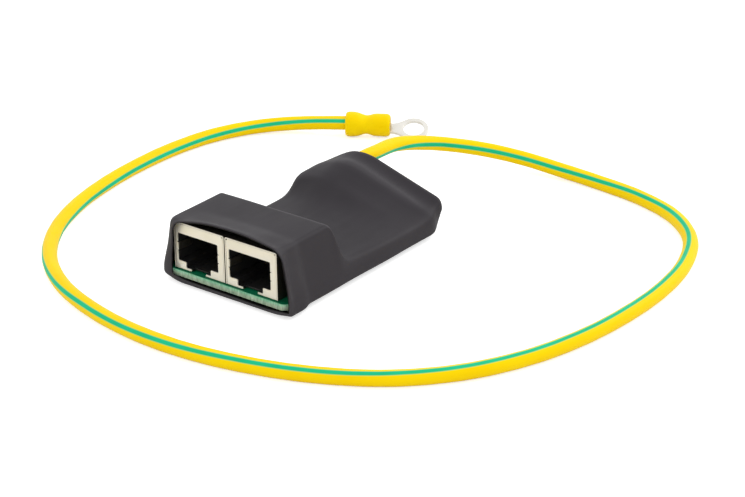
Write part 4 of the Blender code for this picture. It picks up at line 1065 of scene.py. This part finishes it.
def make_shield(side_name, middle):
    """Trough, face, back, fingers and tails of one shield."""
    def upright(outline, thickness, behind):
        return plate([outline], thickness, 0.05, facing_front(middle, FACE_Y + behind, JACK_BASE))

    window = block(
        (middle - 10, FACE_Y + WINDOW_LOW[0], JACK_BASE + WINDOW_LOW[1]),
        (middle + 10, FACE_Y + WINDOW_HIGH[0], JACK_BASE + WINDOW_HIGH[1]),
    )
    trough = made_mesh(upright(trough_outline(), JACK_DEPTH, JACK_DEPTH / 2), window)
    face = upright(face_outline(), SHEET, SHEET / 2 + SET_IN)
    back_corners = [(-FACE_HALF, 0), (FACE_HALF, 0), (FACE_HALF, FACE_TOP), (-FACE_HALF, FACE_TOP)]
    back = upright(rounded(back_corners, 0.2), SHEET, JACK_DEPTH - SHEET / 2 - SET_IN)
    meshes = [face, trough, back]
    level = JACK_BASE + (FINGER_LOW + FINGER_HIGH) / 2
    for hand, tail in TAIL_PLACES.items():
        path = [(hand * (OPENING_WIDTH / 2 + out), behind) for out, behind in FINGER_PATH]
        place = lying(middle + OPENING_SHIFT, FACE_Y, level)
        meshes.append(plate([ribbon(path, FINGER_SHEET)], FINGER_HIGH - FINGER_LOW, 0.04, place))
        x = middle + hand * TAIL_OUT
        low = (x - TAIL_HALF, FACE_Y + tail, 1.0)
        meshes.append(block(low, (x + TAIL_HALF, FACE_Y + tail + TAIL_LENGTH, JACK_BASE + 0.5), 0.06))
    # Every part but the face gets the steel painted dark as painted shade; faces at the very front then get
    # the bright tin again
    shield = joined(f"{side_name}_shield", meshes, tin.material, rest=shaded_tin.material)
    for polygon in shield.data.polygons:
        if polygon.center.y < (FACE_Y + 0.1) * MM:
            polygon.material_index = 0
    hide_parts(f"{side_name}_jack_shield")
    print(shield.name, len(shield.data.polygons), "faces")


for side_name, middle in JACK_MIDDLES.items():
    make_shield(side_name, middle)

# %% [markdown]
# Under each plug's keyway the housing ends in a thin floor, a little behind the face, so that only a strip of
# the green board shows between the shield's toes.

# %% Keyway floors
FLOOR_START = 1.35
FLOOR_END = 11.5
FLOOR_LOW = 0.04
FLOOR_HIGH = 0.46
for side_name, middle in JACK_MIDDLES.items():
    x = middle + OPENING_SHIFT
    half = KEYWAY_WIDTH / 2 - 0.04
    low = (x - half, FACE_Y + FLOOR_START, JACK_BASE + FLOOR_LOW)
    floor_block = block(low, (x + half, FACE_Y + FLOOR_END, JACK_BASE + FLOOR_HIGH), 0.1)
    keyway_floor = joined(f"{side_name}_keyway_floor", [floor_block], moulding.material)
print("keyway floors start", FLOOR_START, "mm behind the face")

# %% [markdown]
# ## Contacts
# Eight gold-plated wires to a jack. Each comes up through the board, runs forward in its groove in the comb,
# turns round at the front and springs back down into the cavity, where the plug's blades press it up.

# %% Contacts
CONTACT_WIRE = 0.36
CONTACT_PITCH = 1.02
CONTACT_RUN = 10.1
LEG_ROWS = (12.9, 15.1)


def contact_place(middle, number):
    """Where a contact stands across, and how far its leg is behind the face."""
    return middle + OPENING_SHIFT + (number - 3.5) * CONTACT_PITCH, LEG_ROWS[number % 2]


def make_contact(side_name, middle, number):
    x, leg = contact_place(middle, number)
    run = CONTACT_RUN
    side_view = [
        (leg, -2.8), (leg, 2.0), (leg, run - 1.5), (leg, run - 0.9), (leg - 0.26, run - 0.26),
        (leg - 0.9, run), (leg - 2.0, run), (7.0, run), (4.9, run), (4.15, run), (3.77, run - 0.17),
        (3.75, run - 0.6), (4.1, run - 0.95), (5.2, run - 1.48), (8.0, run - 2.67), (10.2, 6.7),
    ]
    path = [(x * MM, (FACE_Y + y) * MM, (JACK_BASE + z) * MM) for y, z in side_view]
    curve = round_wires(f"{side_name}_contact_{number + 1}", [path], CONTACT_WIRE, 3)
    curve.splines[0].use_smooth = True
    contact = add_piece(f"{side_name}_contact_{number + 1}", curve, gold.material)
    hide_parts(f"{side_name}_jack_contact_{number + 1}")


for side_name, middle in JACK_MIDDLES.items():
    for number in range(8):
        make_contact(side_name, middle, number)
print("contacts:", 8 * len(JACK_MIDDLES))

# %% [markdown]
# ## Circuit board
# A 1.6 mm glass-epoxy board with deep green mask on both faces. Its front edge was broken out of a panel, so
# it shows the pale laminate with fine upright ridges, and that is what the photograph shows under the
# sockets. The ridges are cut into the mesh. The faces and the edge are two materials on one mesh.

# %% Board
BOARD_HALF = 18.9
BOARD_FRONT = FACE_Y - 0.6
BOARD_REAR = FACE_Y + 57.4
BOARD_CORNER = 2.2
PEG_PLACE = 6.3
PEG_OUT = 5.6
PEG_HOLE = 3.8
CONTACT_HOLE = 0.96
TUBE_X = -15.2
TUBE_LEGS = (20.45, 23.65, 26.85)
TUBE_HOLE = 1.4


def ridged_front(left, right, y):
    """The broken-out front edge from left to right, as small uneven ridges."""
    source = np.random.default_rng(11)
    points = []
    x = left
    while x < right:
        points.append((x, y + source.uniform(0.0, 0.03)))
        pitch = source.uniform(0.34, 0.46)
        points.append((min(x + pitch * 0.55, right), y + source.uniform(0.08, 0.13)))
        x += pitch
    return points


contact_places = [contact_place(middle, number) for middle in JACK_MIDDLES.values() for number in range(8)]


def board_outlines():
    half = BOARD_HALF - BOARD_CORNER
    front = BOARD_FRONT + BOARD_CORNER
    rear = BOARD_REAR - BOARD_CORNER
    edge = ridged_front(-half, half, BOARD_FRONT)
    for x, y, start in ((half, front, 270), (half, rear, 0), (-half, rear, 90), (-half, front, 180)):
        for step in range(9):
            turn = math.radians(start + 90 * step / 8)
            edge.append((x + BOARD_CORNER * math.cos(turn), y + BOARD_CORNER * math.sin(turn)))
    outlines = [edge]
    outlines += [circle(x, FACE_Y + leg, CONTACT_HOLE, 12) for x, leg in contact_places]
    for middle in JACK_MIDDLES.values():
        for hand, tail in TAIL_PLACES.items():
            outlines.append(circle(middle + hand * PEG_OUT, FACE_Y + PEG_PLACE, PEG_HOLE))
            x = middle + hand * TAIL_OUT
            low = (x - 0.4, FACE_Y + tail - 0.25)
            high = (x + 0.4, FACE_Y + tail + TAIL_LENGTH + 0.25)
            outlines.append([low, (high[0], low[1]), high, (low[0], high[1])])
    return outlines + [circle(TUBE_X, y, TUBE_HOLE, 14) for y in TUBE_LEGS]


board_level = lying(0.0, 0.0, (BOARD_BOTTOM + BOARD_TOP) / 2)
board_mesh = plate(board_outlines(), BOARD_TOP - BOARD_BOTTOM, 0.04, board_level)
board = joined("printed_board", [board_mesh], mask.material)
board.data.materials.append(laminate.material)
for polygon in board.data.polygons:
    polygon.material_index = 0 if abs(polygon.normal.z) > 0.9 else 1
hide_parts("circuit_board")
print("board", len(board.data.polygons), "faces")

# %% [markdown]
# ## Solder joints
# Every lead that comes through the board ends in a small cone of solder on the underside. The tinned rings
# under them are not made.

# %% Solder joints
CONE_AROUND = 14


def solder_cone(x, y, foot, tip, height):
    """A fillet from its foot on the board down to the lead."""
    steps = (
        (foot, 0.02), (foot * 0.62, height * 0.3), (tip * 1.25, height * 0.65), (tip, height), (0.02, height),
    )
    points = []
    for radius, drop in steps:
        points += [(*place, BOARD_BOTTOM - drop) for place in circle(x, y, 2 * radius, CONE_AROUND)]
    faces = tube_faces(len(steps), CONE_AROUND)
    faces.append(tuple(range(CONE_AROUND)))
    faces.append(tuple(range(len(points) - CONE_AROUND, len(points)))[::-1])
    return plain_mesh("cone", points, faces)


cones = [solder_cone(x, FACE_Y + leg, 0.45, 0.2, 0.75) for x, leg in contact_places]
cones += [solder_cone(TUBE_X, y, 1.0, 0.42, 0.95) for y in TUBE_LEGS]
for middle in JACK_MIDDLES.values():
    for hand, tail in TAIL_PLACES.items():
        cones.append(solder_cone(middle + hand * TAIL_OUT, FACE_Y + tail + TAIL_LENGTH / 2, 1.1, 0.3, 0.8))
joints = joined("solder_joints", cones, solder.material, 60.0)
print("solder joints:", len(cones))

# %% [markdown]
# ## Terminal and insulator
# A yellow-insulated ring terminal for a 5 mm screw: a vinyl sleeve flared at the wire's end and pinched where
# the tool crimped it, and a tinned ring that was stamped from 0.9 mm copper and widens smoothly out of its
# neck. The sleeve and the barrel are turned profiles on the terminal's own axis.

# %% Terminal frame
terminal_matrix = (
    Matrix.Translation(TERMINAL_PLACE * MM)
    @ Matrix.Rotation(TERMINAL_TURN, 4, "Z")
    @ Matrix.Rotation(TERMINAL_DIP, 4, "Y")
    @ Matrix.Rotation(TERMINAL_ROLL, 4, "X")
)
BARREL_START = 5.25
BARREL_END = 11.25


def turned_points(profile, around, shape=None):
    """Rings of a solid of revolution along the terminal's axis, from (along, radius) points."""
    points = []
    for along, radius in profile:
        for across, up in circle(0.0, 0.0, 2 * radius, around):
            if shape:
                across, up = shape(along, across, up)
            points.append(terminal_matrix @ (Vector((along, across, up)) * MM) / MM)
    return points


def smooth_profile(profile, count):
    """A turned profile with rounder bends: evenly spaced points on a smooth curve."""
    flat = [(x, y, 0.0) for x, y in profile]
    return [(p[0], p[1]) for p in smooth_path(flat, count)]


# %% [markdown]
# The insulator is a short vinyl tube with a bell mouth for the wire and a waist where the tool pressed it on
# the barrel. It is one turned profile with an open bore, which the press flattens a little.

# %% Insulator
WAIST = 6.0
CRIMP_WIDTH = 1.4
INSULATOR_AROUND = 56
OUTSIDE = (
    (0.2, 2.75), (0.28, 2.98), (0.5, 3.2), (0.9, 3.36), (1.7, 3.43), (2.8, 3.37), (3.8, 3.17), (4.8, 2.84),
    (5.6, 2.63), (6.3, 2.62), (7.0, 2.78), (7.8, 3.02), (8.6, 3.11), (10.2, 3.13), (11.3, 3.12), (11.8, 3.03),
    (12.15, 2.84), (12.35, 2.6), (12.4, 2.4),
)
INSIDE = (
    (12.3, 2.3), (11.6, 2.36), (10.2, 2.36), (8.6, 2.36), (7.2, 2.24), (6.0, 2.2), (4.6, 2.25),
    (2.2, 2.3), (0.9, 2.4), (0.3, 2.5),
)


def crimped(along, across, up):
    """The crimping tool's jaws press the waist flat from above and below."""
    press = math.exp(-(((along - WAIST) / CRIMP_WIDTH) ** 2))
    return across * (1 + 0.035 * press), up * (1 - 0.05 * press)


profile = smooth_profile(OUTSIDE, 60) + smooth_profile(INSIDE, 36)
points = turned_points(profile, INSULATOR_AROUND, crimped)
faces = tube_faces(len(profile), INSULATOR_AROUND, loop=True)
insulator = mesh_piece("insulator_sleeve", points, faces, hood.material)
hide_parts("terminal_insulator")
print("insulator", len(insulator.data.polygons), "faces")

# %% [markdown]
# The ring and the barrel are stamped and rolled from one strip of copper and then tinned. The ring is a flat
# plate with softened edges, whose outline swings from the neck into the circle, and the barrel is turned.

# %% Ring and barrel
RING_RADIUS = 4.05
RING_HOLE = 5.65
RING_HALF_NECK = 1.7
RING_REACH = 18.8
RING_DROP = 1.2
RING_THICKNESS = 0.9
NECK_START = 10.9
NECK_STEPS = 10
RING_STEPS = 64
FLARE = math.radians(54.0)
BARREL_AROUND = 40
BARREL_PROFILE = (
    (BARREL_START, 1.5), (BARREL_START, 2.05), (BARREL_START + 0.1, 2.15), (6.1, 2.14), (6.9, 2.02),
    (7.3, 1.96), (9.2, 1.96), (9.6, 2.02), (10.4, 2.14), (BARREL_END - 0.1, 2.15), (BARREL_END, 2.05),
    (BARREL_END, 1.5),
)


def ring_outline(neck_end):
    """The ring's edge with the neck that widens into it."""
    meet = Vector((-RING_RADIUS * math.cos(FLARE), RING_RADIUS * math.sin(FLARE)))
    reach = (meet.y - RING_HALF_NECK) / math.cos(FLARE)
    bend = Vector((meet.x - reach * math.sin(FLARE), RING_HALF_NECK))
    start = Vector((bend.x - reach * 0.5, RING_HALF_NECK))
    upper = [Vector((neck_end, RING_HALF_NECK))]
    for step in range(NECK_STEPS + 1):
        t = step / NECK_STEPS
        upper.append((1 - t) ** 2 * start + 2 * t * (1 - t) * bend + t**2 * meet)
    around = []
    for step in range(1, RING_STEPS):
        turn = math.pi - FLARE - (2 * math.pi - 2 * FLARE) * step / RING_STEPS
        around.append(Vector((math.cos(turn), math.sin(turn))) * RING_RADIUS)
    lower = [Vector((point.x, -point.y)) for point in reversed(upper)]
    return [tuple(point) for point in upper + around + lower]


ring_place = terminal_matrix @ lying(RING_REACH, 0.0, -RING_DROP)
ring_outlines = [ring_outline(NECK_START - RING_REACH), circle(0.0, 0.0, RING_HOLE, RING_STEPS)]
ring_mesh = plate(ring_outlines, RING_THICKNESS, 0.12, ring_place)
barrel_mesh = plain_mesh(
    "barrel", turned_points(BARREL_PROFILE, BARREL_AROUND),
    tube_faces(len(BARREL_PROFILE), BARREL_AROUND, loop=True),
)
terminal = joined("ring_and_barrel", [ring_mesh, barrel_mesh], tinned.material)
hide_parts("ring_terminal")
print("ring and barrel", len(terminal.data.polygons), "faces")

# %% [markdown]
# The conductor is a rope of fine tinned strands. Its cut end shows in the mouth of the barrel.

# %% Conductor strands
STRAND = 0.46
ROPE_RADIUS = 0.9
LAY = 0.35
STRAND_STEPS = 9
# How many strands lie round the middle in each layer, at which radius, and how far the layer is turned
LAYERS = ((1, 0.0, 0.0), (6, 0.48, 0.0), (12, 0.93, 0.5))
source = np.random.default_rng(3)
paths = []
for count, radius, turned in LAYERS:
    for i in range(count):
        turn = 2 * math.pi * (i + turned) / count
        end = BARREL_END - 0.1 - source.uniform(0.0, 0.12)
        path = []
        for step in range(STRAND_STEPS + 1):
            along = BARREL_START + (end - BARREL_START) * step / STRAND_STEPS
            lay = turn + LAY * (along - BARREL_START)
            out = min(radius, ROPE_RADIUS)
            path.append(terminal_matrix @ (Vector((along, out * math.cos(lay), out * math.sin(lay))) * MM))
        paths.append(path)
strands = round_wires("conductor_strands", paths, STRAND, 2)
strand_piece = add_piece("conductor_strands", strands, strand_finish.material)
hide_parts("conductor_tip")
print("strands:", len(paths))

# %% [markdown]

print(f"cord declared, {wire_length * MM:.3f} m")

# %% [markdown]
# ## Floor and light
# The photograph is a cut-out on white. The light is soft from all round and a little stronger from above and
# behind, at a level where a colour renders about as it is written. The white of the background isn't light on
# the object: Light Path adds it only for rays that come from the camera, a glossy surface or through glass,
# so the floor shows white, metal mirrors a pale floor, and the object's soft shadow still lies on it.

# %% Floor
FLOOR_GLOW = 0.6
MIRRORED_FLOOR_GLOW = 0.15
FLOOR_REACH = 4


def seen_rays(tree, camera_value, mirror_value, other_value):
    """One value for camera rays, one for glossy and transmission rays, and one for light on the object."""
    path = add_node(tree, "ShaderNodeLightPath").outputs
    either = {0: path["Is Glossy Ray"], 1: path["Is Transmission Ray"]}
    mirror = add_node(tree, "ShaderNodeMath", either, operation="MAXIMUM")
    value = other_value
    for source, chosen in ((mirror.outputs["Value"], mirror_value), (path["Is Camera Ray"], camera_value)):
        inputs = {"Value": source, "To Max": chosen, "To Min": value}
        value = add_node(tree, "ShaderNodeMapRange", inputs).outputs["Result"]
    return value


floor_finish = Finish("white_floor", (0.8, 0.8, 0.8), 0.95)
floor_finish.shade("Specular IOR Level", 0.0)
floor_finish.shade("Emission Color", (1.0, 1.0, 1.0, 1.0))
floor_finish.shade("Emission Strength", seen_rays(floor_finish.tree, FLOOR_GLOW, MIRRORED_FLOOR_GLOW, 0.0))
floor_mesh = bpy.data.meshes.new("floor")
floor_corners = [(x * FLOOR_REACH, y * FLOOR_REACH, 0) for x, y in ((-1, -1), (1, -1), (1, 1), (-1, 1))]
floor_mesh.from_pydata(floor_corners, [], [(0, 1, 2, 3)])
floor_mesh.materials.append(floor_finish.material)
floor = linked("floor", floor_mesh)
floor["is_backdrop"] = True
print("floor", 2 * FLOOR_REACH, "m wide")

# %% [markdown]
# One large soft lamp stands above and behind, so the top is a little brighter than the sides and a soft
# shadow falls to the front. An even white world fills the rest.

# %% Light
WORLD_LEVEL = 1.0
LAMP_PLACE = Vector((0.55, 1.05, 0.95))
LAMP_SIZE = 1.0
LAMP_POWER = 5.5
light = bpy.data.lights.new("rear_overhead", "AREA")
light.shape = "DISK"
light.size = LAMP_SIZE
light.energy = LAMP_POWER
lamp = linked("rear_overhead", light)
lamp.location = LAMP_PLACE
lamp.rotation_euler = (-LAMP_PLACE).to_track_quat("-Z", "Y").to_euler()
world = bpy.data.worlds.new("studio")
world.use_nodes = True
background = world.node_tree.nodes["Background"].inputs
background["Color"].default_value = (1.0, 1.0, 1.0, 1.0)
feed(world.node_tree, background["Strength"], seen_rays(world.node_tree, 1.0, 1.0, WORLD_LEVEL))
bpy.context.scene.world = world
bpy.context.scene.view_settings.view_transform = "Standard"
print("lamp", LAMP_POWER, "W, world", WORLD_LEVEL)

# %% [markdown]
# ## Compare the sizes and finish
# The box of the finished model is put beside the box of the CAD solids, so a piece that strayed would show.

# %% Sizes and finish
model_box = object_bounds()
for label, (low, high) in (("CAD", cad_box), ("model", model_box)):
    print(label, "box in mm:", [round(v / MM, 2) for v in (*low, *high)])
